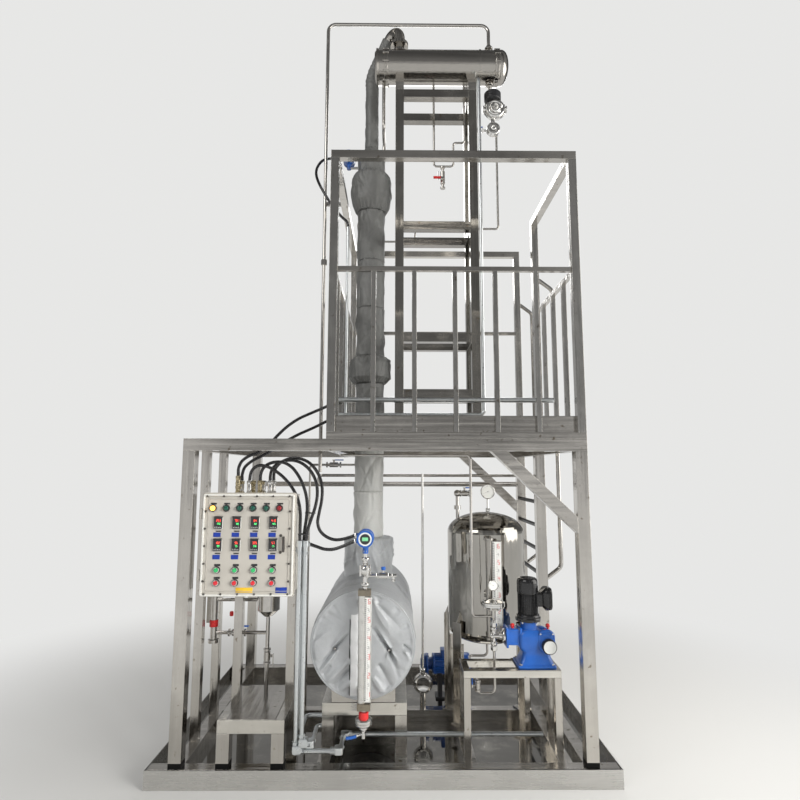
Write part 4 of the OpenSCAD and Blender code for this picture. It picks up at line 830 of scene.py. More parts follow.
# %% Sew the still's jacket
arc, length = np.broadcast_arrays(t * STILL_R, y0)
bulge = (0.0035 * wave_noise(73, 10, 0.15, 0.5, arc, length)
         + 0.0065 * creases(74, 60, arc, length, (0, 1.95), (-0.66, BACK_Y), 0.10, 0.012, 0.8))
seams = np.zeros(length.shape)
for place in (-0.46, -0.15, 0.16):
    seams -= 0.008 * np.exp(-((length - place) / 0.007) ** 2)
calm = np.clip((length + 0.672) / 0.05, 0, 1) * np.clip((0.498 - length) / 0.03, 0, 1)
grow = np.where(barrel, (np.minimum(bulge, 0.004) + seams) * calm, 0.0)
px, pz = still_place(r0 + grow)
rim_x, rim_z = still_place(0.302)
rim_line = np.stack([rim_x, np.full(ROUND, -0.6960), rim_z], 1)
out = np.stack([np.cos(t), np.zeros(ROUND), np.sin(t)], 1)
piping = rim_line[:, None] + 0.0042 * circle(full_turn(8), out[:, None], np.array([0, 1.0, 0]))
BUTTON = [(0.0005, 0.012), (0.006, 0.011), (0.008, 0.006), (0.006, 0.000), (0.0030, -0.001),
          (0.0005, 0.001)]
buttons = [turned(BUTTON, (x, -0.688, z), "y", 20, paint=tube) for x, z in TIES]
patches = [dict(grid=np.stack([px, py, pz], -1)), dict(grid=piping, loop=True)] + buttons
quilt = make_piece("still_jacket", patches, [bright_cloth, white_cloth, tube], "still_body",
                   angle=75)
print("still jacket", len(quilt.data.polygons), "faces")

# %% Flap and ties on the cover
def flap(center, width, height, lift, seed, n=(60, 14), **flags):
    """A cloth strip round a thin pillow: at s from -1 to 1 up the strip it stands lift (1 - s^6) off
    the cover, 0.003 (1 - s^8) + 0.0008 thick, with small waves; front and back are one loop."""
    a = np.linspace(-1, 1, n[0])[:, None]
    t = full_turn(n[1] * 2)[None, :]
    c = np.sign(np.cos(t)) * np.abs(np.cos(t)) ** 0.35
    x = center[0] + width / 2 * c + 0.0012 * np.sin(a * 5 + seed) + 0 * a
    z = center[2] + height / 2 * a + 0 * t
    thick = 0.003 * (1 - a ** 8) + 0.0008
    y = center[1] - lift * (1 - a ** 6) + thick * -np.sin(t) + 0.0012 * np.sin(a * 17 + np.cos(t) * 2)
    return dict(grid=np.stack([x, y, z], -1), **flags)


# The thin dark strip at the flap's left edge is painted shade, for the shadowed gap beside the flap.
strip = make_piece("still_flap", [flap((-0.180, -0.700, 0.672), 0.043, 0.49, 0.005, 3),
                                  flap((-0.206, -0.698, 0.672), 0.007, 0.50, 0.001, 5, (40, 8),
                                       paint=dark_plastic)],
                   [white_cloth, dark_plastic], angle=75)

# %% Collar of the still
COLLAR_X = -0.137


def collar_relief(arc, h, r):
    """Soft dents and slanting creases that fade at the hems, and a ripple under the top hem."""
    soft = 0.005 * wave_noise(81, 9, 0.12, 0.4, arc, h)
    lines = 0.009 * creases(82, 44, arc, h, (0, 1.12), (0.93, 1.23), 0.07, 0.010, 1.0)
    hem = np.exp(-((h - 1.215) / 0.04) ** 2)
    gather = 0.0035 * hem * np.sin(arc * 2 * np.pi / 0.045 + 2 * np.sin(arc * 6))
    return (soft + lines + gather) * np.clip((r - 0.12) / 0.06, 0, 1) - 0.003


collar = make_piece("still_collar_jacket", [
    sleeve((COLLAR_X, 0.080, 0), [(0.90, 0.120), (0.9005, 0.176), (1.195, 0.178), (1.222, 0.176),
                                  (1.233, 0.168), (1.2345, 0.115)], collar_relief, 200, 64)],
    [bright_cloth], "still_collar", angle=70)
print("collar", len(collar.data.polygons), "faces")

# %% [markdown]
# ## The control box
# The box is a cast flameproof case: a thick door held by a ring of screws, with lamps, small
# controllers and push buttons in rows. Each device is a separate turned or pressed shape that
# stands on the door. The digits are lit strokes like those of any counter, and the tags and
# plates are left bare.

# %% Finishes of the devices
def lit(name, color, glow, strength):
    """A glossy plastic lens that also gives a little light of its own."""
    made = finish(name, color, 0.18, 0.0, [clouds(90, 2, 0.12, 0.05)], Coat_Weight=0.5)
    shader = made.node_tree.nodes["Principled BSDF"]
    shader.inputs["Emission Color"].default_value = (*glow, 1)
    shader.inputs["Emission Strength"].default_value = strength
    return made


lens_on = lit("lit_lens", (0.95, 0.45, 0.05), (1.0, 0.50, 0.08), 3.0)
lens_green = lit("dark_green_lens", (0.003, 0.075, 0.050), (0.0, 0.1, 0.06), 0.0)
lens_red = lit("dark_red_lens", (0.22, 0.008, 0.012), (0.3, 0.0, 0.0), 0.05)
push_green = lit("green_button", (0.03, 0.42, 0.13), (0.05, 0.8, 0.2), 0.10)
push_red = lit("red_button", (0.60, 0.02, 0.03), (0.9, 0.03, 0.05), 0.10)
red_digit = lit("red_digit", (0.9, 0.05, 0.03), (1.0, 0.06, 0.03), 2.5)
green_digit = lit("green_digit", (0.1, 0.8, 0.2), (0.1, 1.0, 0.25), 1.8)
blue_plate = finish("blue_plate", (0.012, 0.045, 0.33), 0.35, 0.0, [clouds(70, 3, 0.15, 0.05)])
yellow_plate = finish("yellow_plate", (0.80, 0.50, 0.03), 0.4, 0.0, [clouds(50, 3, 0.06, 0.05)])
chrome = finish("chrome", (0.78, 0.77, 0.75), 0.12, 1.0, [clouds(60, 3, 0.05, 0.05)])
white_plastic = finish("white_plastic", (0.72, 0.73, 0.71), 0.35, 0.0, [clouds(60, 3, 0.03, 0.06)])
dark_metal = finish("dark_screw_steel", (0.14, 0.13, 0.12), 0.35, 1.0, [clouds(80, 2, 0.15, 0.08)])
DOOR_Y = -0.808


def facing(place, size, corner, levels, **flags):
    """A pressed shape on the door: depth is measured towards the front."""
    return pressed(size, corner, [(i, -d) for i, d in levels], (place[0], DOOR_Y, place[1]), "y", **flags)


def knob(place, profile, n=28, **flags):
    """A turned shape on the door: profile is (radius, distance from the door)."""
    return turned([(r, -d) for r, d in profile], (place[0], DOOR_Y, place[1]), "y", n, **flags)


TAG = [(0, -0.001), (0, 0.0015), (0.0005, 0.002)]


def label(x, z, wide, tall, paint=dark_plastic, n=2):
    """A bare tag, 2 mm proud of the door."""
    return facing((x, z), (wide, tall), 0.001, TAG, n=n, paint=paint)


# %% Lamps and push buttons
LAMP_RING = [(0.0205, -0.002), (0.0205, 0.008), (0.0185, 0.0105), (0.0150, 0.0110), (0.0150, 0.008)]
LENS = [(0.0145, 0.006), (0.0145, 0.015), (0.0132, 0.020), (0.0100, 0.0240), (0.0055, 0.0258),
        (0.0005, 0.0262)]
BUTTON_RING = [(0.0205, -0.002), (0.0205, 0.007), (0.0190, 0.009), (0.0165, 0.0095)]
COLLAR_RING = [(0.0175, 0.006), (0.0175, 0.013), (0.0160, 0.016), (0.0140, 0.0163), (0.0135, 0.012)]
PUSH = [(0.0122, 0.008), (0.0122, 0.018), (0.0112, 0.0205), (0.0070, 0.0215), (0.0005, 0.0220)]
COLUMNS = [-0.963 + 0.1055 * i for i in range(4)]
rows = []
for i, paint in enumerate([lens_on] + [lens_green] * 4 + [lens_red]):
    x = -0.997 + 0.0766 * i
    rows += [knob((x, 1.495), LAMP_RING), knob((x, 1.495), LENS, paint=paint),
             label(x + 0.003, 1.5205, 0.034, 0.009)]
for z, paint in ((1.148, push_green), (1.077, push_red)):
    for x in COLUMNS:
        rows += [knob((x, z), BUTTON_RING), knob((x, z), COLLAR_RING, paint=chrome),
                 knob((x, z), PUSH, paint=paint), label(x + 0.003, z + 0.0265, 0.034, 0.012)]
lamp_paints = [dark_plastic, lens_on, lens_green, lens_red, push_green, push_red, chrome]
make_piece("panel_lamps", rows, lamp_paints, "panel_devices")
print("lamps and buttons", len(rows))

# %% Controllers with lit digits
STROKES = {"0": "abcdef", "1": "bc", "2": "abged", "3": "abgcd", "4": "fgbc", "5": "afgcd", "6": "afgedc",
           "7": "abc", "8": "abcdefg", "9": "abcdfg"}
PLACES = {"a": (0, 1, 0), "b": (0.5, 0.5, 1), "c": (0.5, -0.5, 1), "d": (0, -1, 0), "e": (-0.5, -0.5, 1),
          "f": (-0.5, 0.5, 1), "g": (0, 0, 0)}


def digits(text, place, tall, depth, paint, face=DOOR_Y):
    """Each stroke is a small pressed bar at its place in a box of half width and height one."""
    made = []
    for k, sign in enumerate(text):
        for stroke in STROKES[sign]:
            sx, sz, upright = PLACES[stroke]
            x = place[0] + (k - (len(text) - 1) / 2) * tall * 0.72 + sx * tall * 0.42
            z = place[1] + sz * tall * 0.5
            size = (tall * 0.11, tall * 0.42) if upright else (tall * 0.36, tall * 0.11)
            levels = [(0, -depth), (0, -depth - 0.0008)]
            made.append(pressed(size, 0.0003, levels, (x, face, z), "y", n=2, paint=paint))
    return made


BEZEL = [(0, -0.002), (0, 0.004), (0.001, 0.005), (0.003, 0.005)]
CASE = [(0, 0.003), (0, 0.012), (0.0015, 0.014), (0.004, 0.014), (0.005, 0.0125)]
BROW = [(0, 0.002), (0, 0.0145), (0.001, 0.0155)]
KEY = [(0, 0.0120), (0, 0.0145), (0.001, 0.015)]


def controller(x, z, shown, wanted):
    """A case with the value shown in red over the wanted one in green, four keys and two tags."""
    made = [facing((x, z), (0.050, 0.068), 0.003, BEZEL),
            facing((x, z), (0.046, 0.064), 0.003, CASE, paint=dark_plastic),
            facing((x + 0.001, z + 0.034), (0.048, 0.009), 0.001, BROW, n=2, paint=dark_plastic)]
    made += digits(shown, (x + 0.003, z + 0.014), 0.0125, 0.0125, red_digit)
    made += digits(wanted, (x + 0.005, z - 0.004), 0.0095, 0.0125, green_digit)
    for j in range(4):
        made.append(facing((x - 0.015 + 0.010 * j, z - 0.024), (0.007, 0.006), 0.002, KEY, n=3,
                           paint=chrome))
    return made + [label(x + 0.002, z - 0.047, 0.030, 0.007),
                   label(x - 0.006, z - 0.067, 0.042, 0.025, blue_plate, n=3)]


values = (("253", "250"), ("781", "780"), ("64", "60"), ("410", "405"),
          ("182", "180"), ("96", "95"), ("335", "330"), ("57", "55"))
rows = []
for k, (shown, wanted) in enumerate(values):
    rows += controller(COLUMNS[k % 4], (1.411, 1.286)[k // 4], shown, wanted)
device_paints = [white_plastic, dark_plastic, red_digit, green_digit, chrome, blue_plate]
make_piece("panel_controllers", rows, device_paints)
print("controllers", len(rows), "patches")

# %% Door rim, screws, handle and bare plates
def rim(place, size, corner, width, high, **flags):
    """A raised frame: rounded rectangles go up the outer wall, over the top and down inside."""
    soft = 0.0015
    levels = [(0, -0.001), (0, high - soft), (soft, high), (width - soft, high), (width, high - soft),
              (width, -0.001)]
    return facing(place, size, corner, levels, loop=True, **flags)


def screw(x, z, r=0.0065, high=0.006):
    """A hexagon screw: six points round, so the ring of a turned shape has six columns."""
    profile = [(r, 0.001), (r, -high + 0.001), (r * 0.86, -high), (0.0004, -high)]
    return turned(profile, (x, DOOR_Y - 0.005, z), "y", 6, paint=dark_metal)


DOOR = (-0.790, 1.289)
GRIP = [(0, 0.016), (0, 0.026), (0.003, 0.029), (0.005, 0.030)]
GRIP_FOOT = [(0.0055, -0.001), (0.0055, 0.020)]
LOCK = [(0.008, -0.001), (0.008, 0.004), (0.006, 0.006)]
PLATE = [(0, -0.001), (0, 0.0015), (0.0007, 0.002)]
# The outer rim is painted pale as painted light on its lit edges.
rows = [rim(DOOR, (0.526, 0.572), 0.012, 0.010, 0.010, paint=rim_painted_light),
        rim(DOOR, (0.470, 0.520), 0.010, 0.003, 0.004),
        facing((-0.582, 1.293), (0.014, 0.088), 0.006, GRIP, paint=dark_metal),
        knob((-0.582, 1.328), GRIP_FOOT, 16), knob((-0.582, 1.258), GRIP_FOOT, 16),
        knob((-0.602, 1.340), LOCK, 20, paint=dark_metal),
        knob((-0.602, 1.246), LOCK, 20, paint=dark_metal)]
rows += [screw(-1.030 + 0.095 * i, z) for i in range(6) for z in (1.5635, 1.0145)]
rows += [screw(x, 1.085 + 0.098 * i) for i in range(5) for x in (-1.0375, -0.552)]
rows += [facing((-0.803, 1.036), (0.096, 0.028), 0.002, PLATE, n=3, paint=yellow_plate),
         facing((-0.5925, 1.036), (0.065, 0.031), 0.002, PLATE, n=3, paint=blue_plate)]
trim_paints = [panel_grey, dark_metal, yellow_plate, blue_plate, rim_painted_light]
make_piece("panel_door_trim", rows, trim_paints)
print("door trim", len(rows), "patches")

# %% [markdown]
# ## Cable glands
# A gland is a hexagon body that screws into the box, a round neck and a hexagon cap nut that
# squeezes the hose. The hexagons are turned shapes with six columns and chamfered rims.

# %% Turn the glands
def hexagon(across, low, high, place, axis="z", **flags):
    """A nut: a ring of six columns, drawn in by 6% at both faces."""
    r = across / 2
    c = (high - low) * 0.18
    return turned([(r * 0.94, low), (r, low + c), (r, high - c), (r * 0.94, high)], place, axis, 6, **flags)


def gland(x, y, high, paint):
    """Body nut, neck with a groove, cap nut and lip, from the roof of the box upwards."""
    at = (x, y, 1.568)
    neck = [(0.0125, 0.015), (0.0135, 0.017), (0.0135, 0.022), (0.0120, 0.023), (0.0120, 0.026),
            (0.0135, 0.027), (0.0135, high - 0.026), (0.0125, high - 0.021)]
    lip = [(0.0125, high - 0.004), (0.0125, high - 0.001), (0.0115, high)]
    return [hexagon(0.034, 0.0, 0.016, at, paint=paint), turned(neck, at, n=24, paint=paint),
            hexagon(0.032, high - 0.022, high - 0.003, at, paint=paint), turned(lip, at, n=24, paint=paint)]


TALL, SHORT = 0.112, 0.083
rows = []
for x, high, tone in ((-0.893, TALL, brass), (-0.824, SHORT, chrome), (-0.760, SHORT, brass),
                      (-0.700, SHORT, chrome)):
    rows += gland(x, -0.685, high, tone)
for x, tone in ((-0.881, chrome), (-0.812, brass), (-0.748, chrome), (-0.688, chrome)):
    rows += gland(x, -0.640, SHORT, tone)
tall_at = (-0.893, -0.685, 1.568)
rows += [hexagon(0.033, 0.034, 0.050, tall_at),
         turned([(0.0142, 0.058), (0.0150, 0.060), (0.0150, 0.072), (0.0142, 0.074)], tall_at, n=24)]
make_piece("glands", rows, [brass, chrome], "cable_glands")
print("gland patches", len(rows))

# %% [markdown]
# ## Magnetic level gauges
# A magnet floats inside the side tube and turns small flags on the scale beside it. The scale
# is a white strip with red flags up to the level and white above, and a row of marks. The tube
# and end flanges are turned; the strip, its frame and the flags are pressed bars.

# %% Lay out a scale
flag_red = finish("red_flag", (0.62, 0.03, 0.03), 0.35, 0.0, [clouds(90, 2, 0.12, 0.05)])
scale_white = finish("scale_white", (0.74, 0.74, 0.72), 0.3, 0.0, [clouds(40, 3, 0.04, 0.05)])


def strip_scale(x, y, low, high, width, count):
    """A frame with its white strip, a column of count magnet flags, a row of marks with every fifth
    one longer, and a numeral every 100 mm. y is the front of the frame."""
    mid, tall = (low + high) / 2, high - low
    flags_x = x - width * 0.30

    def flat(size, corner, levels, at_x, at_z, paint=None, n=2):
        """A bar on the front of the frame."""
        return pressed(size, corner, levels, (at_x, y + 0.001, at_z), "y", n=n, paint=paint)

    frame_levels = [(0, 0.017), (0, 0.0005), (0.0015, -0.001), (0.005, -0.001), (0.006, 0.001)]
    rows = [flat((width, tall), 0.004, frame_levels, x, mid, n=3),
            flat((width - 0.010, tall - 0.010), 0.001, [(0, 0.004), (0, 0.0005)], x, mid, scale_white),
            flat((width * 0.2, tall - 0.020), 0.001, [(0, 0.004), (0, -0.0002)], flags_x, mid,
                 dark_plastic)]
    step = (tall - 0.03) / count
    for j in range(count):
        z = low + 0.015 + step * (j + 0.5)
        flag = [(0, 0.002), (0, -0.0010), (0.0005, -0.0014)]
        mark = (0.010 if j % 5 == 0 else 0.005, 0.0016)
        rows += [flat((width * 0.128, step * 0.55), 0.0005, flag, flags_x, z, scale_white),
                 flat(mark, 0.0002, [(0, 0.002), (0, -0.0005)], x + width * 0.02, z, dark_plastic)]
    for k in range(int(tall / 0.1) + 1):
        z = low + 0.045 + 0.1 * k
        if z < high - 0.02:
            rows += digits(str(k + 1), (x + width * 0.18, z), 0.026, -0.0018, flag_red, y)
            rows += digits("5", (x + width * 0.16, z - 0.050), 0.014, -0.0018, dark_plastic, y)
    return rows


def bevelled(r, low, high, small, place, axis="z", n=32, **flags):
    """A disc of radius r between two heights whose rims are taken off by small, 1 mm high."""
    profile = [(r - small, low), (r, low + 0.001), (r, high - 0.001), (r - small, high)]
    return turned(profile, place, axis, n, **flags)


# %% Turn the still's gauge
pale_tube = finish("pale_gauge_tube", (0.80, 0.79, 0.76), 0.34, 1.0, [clouds(30, 3, 0.08, 0.08)])
end_block = finish("dark_block", (0.33, 0.29, 0.23), 0.38, 1.0, [clouds(30, 3, 0.2, 0.1)])
gx, gy = -0.132, -0.784
rows = [bevelled(0.022, 0.420, 1.007, 0.0008, (gx, gy, 0))]
for z in (0.467, 0.947):
    rows += [rod(0.015, -0.690, gy + 0.012, (gx, 0, z), "y", 24),
             bevelled(0.025, -0.722, -0.712, 0.001, (gx, 0, z), "y", 24)]
for low, high in ((0.385, 0.422), (1.003, 1.037)):
    block = [(0.0015, low), (0, low + 0.0015), (0, high - 0.0015), (0.0015, high)]
    rows.append(pressed((0.074, 0.054), 0.006, block, (-0.118, -0.785, 0), "z", paint=end_block))
for z in (0.50, 0.62, 0.74, 0.86, 0.96):
    rows.append(bevelled(0.0236, z - 0.006, z + 0.006, 0.0004, (gx, gy, 0)))
rows += strip_scale(-0.0985, -0.804, 0.427, 0.997, 0.043, 50)
scale_paints = [scale_white, flag_red, dark_plastic]
still_gauge = make_piece("still_level_gauge", rows, [pale_tube, *scale_paints, end_block],
                         "level_gauge")
print("still gauge", len(still_gauge.data.polygons), "faces")

# %% Turn the tank's gauge
rx, ry = 0.652, -0.442
rows = [bevelled(0.020, 0.673, 1.271, 0.0008, (rx, ry, 0))]
for z in (0.672, 1.278):
    rows.append(bevelled(0.031, z - 0.007, z + 0.007, 0.001, (rx, ry, 0)))
    rows += [hexagon(0.008, -0.011, 0.011, p) for p in around(4, 0.0245, (rx, ry, z))]
for z in (0.763, 1.211):
    rows.append(rod(0.014, -0.395, ry + 0.010, (rx, 0, z), "y", 24))
rows += strip_scale(0.701, -0.458, 0.690, 1.268, 0.068, 52)
tank_gauge = make_piece("tank_level_gauge", rows, [polished, *scale_paints],
                        "receiver_gauge")
print("tank gauge", len(tank_gauge.data.polygons), "faces")

# %% [markdown]
# ## Valves and clamps by the gauge
# Below the gauge hang a float end with its red cap, a clamped joint and a ball valve with a blue
# lever. Above it a small round body sits between two clamp rings. They are all lathe work, so
# each is one profile, and the levers are flat bars bent once.

# %% Turn the fittings
def ring_clamp(r, z, place, axis="z", **flags):
    """A clamp band: a flat rim with sloping sides."""
    profile = [(r * 0.72, z - 0.011), (r * 0.9, z - 0.009), (r, z - 0.005), (r, z + 0.005),
               (r * 0.9, z + 0.009), (r * 0.72, z + 0.011)]
    return turned(profile, place, axis, 32, **flags)


def bar(path, width, thick, **flags):
    """A flat lever: at every point of a path a ring of width by thick, whose corners are rounded
    because its sine and cosine are raised to the power 0.4."""
    path = np.array(path, float)
    ahead, side, up = carry(path)
    t = full_turn(14)
    c = np.sign(np.cos(t)) * np.abs(np.cos(t)) ** 0.4 * width / 2
    s = np.sign(np.sin(t)) * np.abs(np.sin(t)) ** 0.4 * thick / 2
    return dict(grid=path[:, None] + c[:, None] * side[:, None] + s[:, None] * up[:, None], **flags)


red_paint = finish("red_paint", (0.50, 0.022, 0.02), 0.35, 0.0, [clouds(40, 3, 0.15, 0.08)])
at = (-0.118, -0.784, 0)
CAP = [(0.024, 0.340), (0.0275, 0.342), (0.0275, 0.371), (0.025, 0.374)]
CLAMPED = [(0.034, 0.300), (0.044, 0.304), (0.048, 0.310), (0.048, 0.318), (0.044, 0.321), (0.044, 0.324),
           (0.048, 0.327), (0.048, 0.335), (0.044, 0.339), (0.030, 0.342)]
lever = [(-0.156, -0.800, 0.252), (-0.180, -0.801, 0.246), (-0.205, -0.801, 0.243), (-0.214, -0.801, 0.243)]
rows = [turned(CAP, at, paint=flag_red), rod(0.016, 0.372, 0.386, at, n=24), turned(CLAMPED, at, n=40),
        turned([(0.024, 0.285), (0.025, 0.287), (0.025, 0.298), (0.021, 0.302), (0.021, 0.311)], at),
        rod(0.011, 0.235, 0.286, at, n=24), hexagon(0.030, 0.262, 0.276, at),
        bar([(-0.126, -0.799, 0.262), (-0.142, -0.7995, 0.258), (-0.160, -0.800, 0.250)], 0.010, 0.008),
        bar(lever, 0.013, 0.015, paint=blue)]

# %% Turn the body between two clamps
up_at = (-0.116, -0.784, 0)
SPINDLE = [(0.0130, 1.110), (0.022, 1.1165), (0.0285, 1.128), (0.031, 1.142), (0.0285, 1.156),
           (0.022, 1.1675), (0.0130, 1.174)]
rows += [rod(0.013, 1.036, 1.238, up_at, n=24),
         ring_clamp(0.025, 1.064, up_at), ring_clamp(0.025, 1.206, up_at), turned(SPINDLE, up_at, n=36),
         hexagon(0.030, 1.100, 1.112, up_at), hexagon(0.030, 1.172, 1.184, up_at)]
for a in (0.4, 2.0, 3.6, 5.2):
    tie_rod = (-0.116 + 0.030 * math.cos(a), -0.784 + 0.030 * math.sin(a), 1.142)
    rows.append(rod(0.0065, -0.030, 0.030, tie_rod, n=12))

# %% Turn the valve on its bent pipe
vx = (-0.012, -0.784, 1.112)
foot = (0.046, -0.784, 1.112)
bent = smooth_line([(-0.116, -0.784, 1.066), (-0.114, -0.784, 1.090), (-0.101, -0.784, 1.106),
                    (-0.080, -0.784, 1.111), (-0.040, -0.784, 1.112)], 5)
VALVE = [(0.0115, -0.0255), (0.018, -0.0245), (0.0187, -0.018), (0.0187, 0.018), (0.018, 0.0245),
         (0.0115, 0.0255)]
HANDLE = [(0.008, 0.030), (0.012, 0.032), (0.013, 0.038), (0.013, 0.046), (0.010, 0.050)]
rows += [swept(bent, 0.0085, 16), rod(0.011, -0.045, 0.040, vx, "x", 20), turned(VALVE, vx, "x", 24),
         hexagon(0.032, -0.040, -0.028, vx, "x"), hexagon(0.032, 0.028, 0.040, vx, "x"),
         rod(0.006, 0.0, 0.034, vx, n=16), turned(HANDLE, vx, n=20, paint=blue),
         rod(0.010, 0.040, 0.076, vx, "x", 20), hexagon(0.026, 0.050, 0.060, vx, "x"),
         rod(0.009, -0.034, 0.0, foot, n=18), hexagon(0.024, -0.030, -0.020, foot)]
make_piece("gauge_fittings", rows, [chrome, flag_red, blue], "gauge_valves")
print("fittings", len(rows))

# %% [markdown]
# ## Transmitters
# A level transmitter has a round cast housing that looks to the front: a thick screwed cover
# with a window, a white ring and a small green display, and a second cover at the back. Cast
# aluminium has soft rims, so each profile carries small roundings, and the front cover is notched.

# %% Cast the housings
DRUM = [(0.040, -0.041), (0.0455, -0.038), (0.046, -0.030), (0.046, 0.030), (0.0455, 0.038), (0.042, 0.041)]
BACK_COVER = [(0.043, 0.038), (0.049, 0.040), (0.049, 0.053), (0.046, 0.0575), (0.030, 0.058),
              (0.0005, 0.058)]
FRONT_COVER = [(0.90, -0.040), (0.985, -0.0405), (1.0, -0.043), (1.0, -0.057), (0.97, -0.0610),
               (0.88, -0.062), (0.80, -0.0615), (0.79, -0.057)]
WHITE_RING = [(0.0385, -0.056), (0.0385, -0.0595), (0.0365, -0.0605), (0.0300, -0.0600), (0.0295, -0.057)]
GLASS = [(0.0296, -0.055), (0.0296, -0.0580), (0.0005, -0.0582)]
ENTRY = [(0.012, -0.064), (0.013, -0.063), (0.013, -0.022), (0.018, -0.015), (0.018, 0.0)]
NECK = [(0.017, 0.0), (0.017, 0.030), (0.022, 0.040), (0.030, 0.048)]


def transmitter(x, y, z):
    """Parts of one transmitter; z is its foot, and the housing's axis is 86 mm above. The rim of
    the front cover is 0.049 less 0.0016 in each of 16 notches."""
    c = np.array((x, y, z + 0.086))
    t = full_turn(96)
    rim_r = 0.049 - 0.0016 * (np.cos(16 * t) > 0.6)
    cover = [np.stack([c[0] + rim_r * scale * np.cos(t), np.full(96, c[1] + depth),
                       c[2] + rim_r * scale * np.sin(t)], 1) for scale, depth in FRONT_COVER]
    made = [turned(NECK, (x, y, z), n=28), hexagon(0.036, 0.006, 0.022, (x, y, z), paint=chrome),
            turned(DRUM, c, "y", 48), turned(BACK_COVER, c, "y", 48), dict(grid=np.array(cover)),
            turned(WHITE_RING, c, "y", 48, paint=white_plastic),
            turned(GLASS, c, "y", 48, paint=dark_plastic),
            pressed((0.034, 0.020), 0.003, [(0, -0.0575), (0, -0.0590), (0.001, -0.0593)], c, "y", n=4,
                    paint=display)]
    for side in (-1, 1):
        entry = c + np.array((0, 0.020, 0.014)) * side
        made += [turned(ENTRY, entry, "x", 24), hexagon(0.030, -0.064, -0.052, entry, "x", paint=chrome)]
    return made


display = lit("green_display", (0.16, 0.42, 0.22), (0.2, 0.8, 0.4), 0.35)
rows = transmitter(-0.116, -0.784, 1.237) + transmitter(-0.318, 0.080, 4.079)
rows.append(rod(0.011, 0.0, 0.074, (-0.318, 0.080, 4.090), "x", 20, paint=chrome))
heads = make_piece("level_transmitters", rows, [blue, white_plastic, dark_plastic, chrome, display],
                   "transmitters")
print("transmitters", len(heads.data.polygons), "faces")

# %% [markdown]
# ## The dosing pump
# The pump is a painted iron casting with a black motor standing on it. A casting has no sharp
# edge: the foot flares out in a curve, the box in front of the crank has rounded corners and
# the worm housing is a round boss with the stroke knob. The casting's foot is one rounded
# rectangle carried up through many levels, which gives the flare without any boolean.

# %% Cast the pump housing
PX, PY, PZ = 0.872, -0.540, 0.549
foot = (PX, PY, PZ)
BASE = [(0.111, 0.087, 0.010, 0.030, 0.000), (0.114, 0.090, 0.012, 0.030, 0.002),
        (0.114, 0.090, 0.012, 0.030, 0.011), (0.112, 0.088, 0.012, 0.030, 0.014)]
HOUSING = [(0.106, 0.080, 0.020, 0.031, 0.010), (0.102, 0.077, 0.022, 0.032, 0.020),
           (0.094, 0.071, 0.024, 0.033, 0.036), (0.087, 0.065, 0.026, 0.034, 0.054),
           (0.083, 0.062, 0.028, 0.034, 0.068), (0.080, 0.062, 0.028, 0.033, 0.082),
           (0.088, 0.066, 0.026, 0.025, 0.098), (0.092, 0.068, 0.024, 0.022, 0.112),
           (0.092, 0.068, 0.024, 0.022, 0.172), (0.084, 0.066, 0.024, 0.018, 0.186),
           (0.068, 0.061, 0.030, 0.010, 0.200), (0.058, 0.056, 0.035, 0.004, 0.208)]
CROWN = [(0.064, 0.190), (0.055, 0.198), (0.050, 0.210), (0.049, 0.222), (0.049, 0.246), (0.052, 0.253),
         (0.056, 0.256)]
PLINTH = [(0.070, 0.255), (0.0755, 0.257), (0.0765, 0.259), (0.0765, 0.2755), (0.075, 0.278)]
rows = [loft(BASE, foot), loft(HOUSING, foot), turned(CROWN, foot, n=48),
        turned(PLINTH, foot, n=56, paint=gloss_black)]
for dx in (-0.09212, 0.09604):
    for dy in (-0.070, 0.070):
        rows.append(hexagon(0.022, 0.012, 0.023, (PX + 0.028 + dx, PY + dy, PZ), paint=chrome))
rows += [hexagon(0.013, 0.246, 0.257, p, paint=chrome) for p in around(4, 0.064, foot)]

# %% Press the crank's cover and turn the worm housing
CRANK_COVER = [(0.014, -0.030), (0.004, -0.040), (0, -0.052), (0, -0.066), (0.003, -0.0705),
               (0.010, -0.0725), (0.0125, -0.0715), (0.0145, -0.0725), (0.022, -0.0755), (0.026, -0.0765)]
WORM = [(0.060, 0.066), (0.066, 0.064), (0.069, 0.056), (0.069, 0.0), (0.060, -0.010)]
BOSS = [(0.044, -0.060), (0.048, -0.068), (0.045, -0.078), (0.040, -0.080)]
KNOB = [(0.036, -0.072), (0.041, -0.075), (0.0425, -0.079), (0.0425, -0.111), (0.0405, -0.1145),
        (0.038, -0.1158), (0.037, -0.1150)]
KNOB_FACE = [(0.0375, -0.106), (0.0375, -0.1150), (0.0366, -0.1160), (0.0300, -0.1162), (0.0296, -0.1156),
             (0.0292, -0.1162), (0.0005, -0.1165)]
rows += [pressed((0.104, 0.132), 0.042, CRANK_COVER, (0.964, PY, 0.698), "y", n=9),
         turned(WORM, (0.953, PY, 0.690), "y", 48), turned(BOSS, (0.972, PY, 0.678), "y", 48),
         turned(KNOB, (0.972, PY, 0.676), "y", 60, paint=black),
         turned(KNOB_FACE, (0.972, PY, 0.676), "y", 60, paint=white_plastic)]
for x, z in ((0.927, 0.742), (1.001, 0.742), (1.001, 0.654)):
    rows.append(hexagon(0.010, -0.078, -0.070, (x, PY, z), "y", paint=chrome))

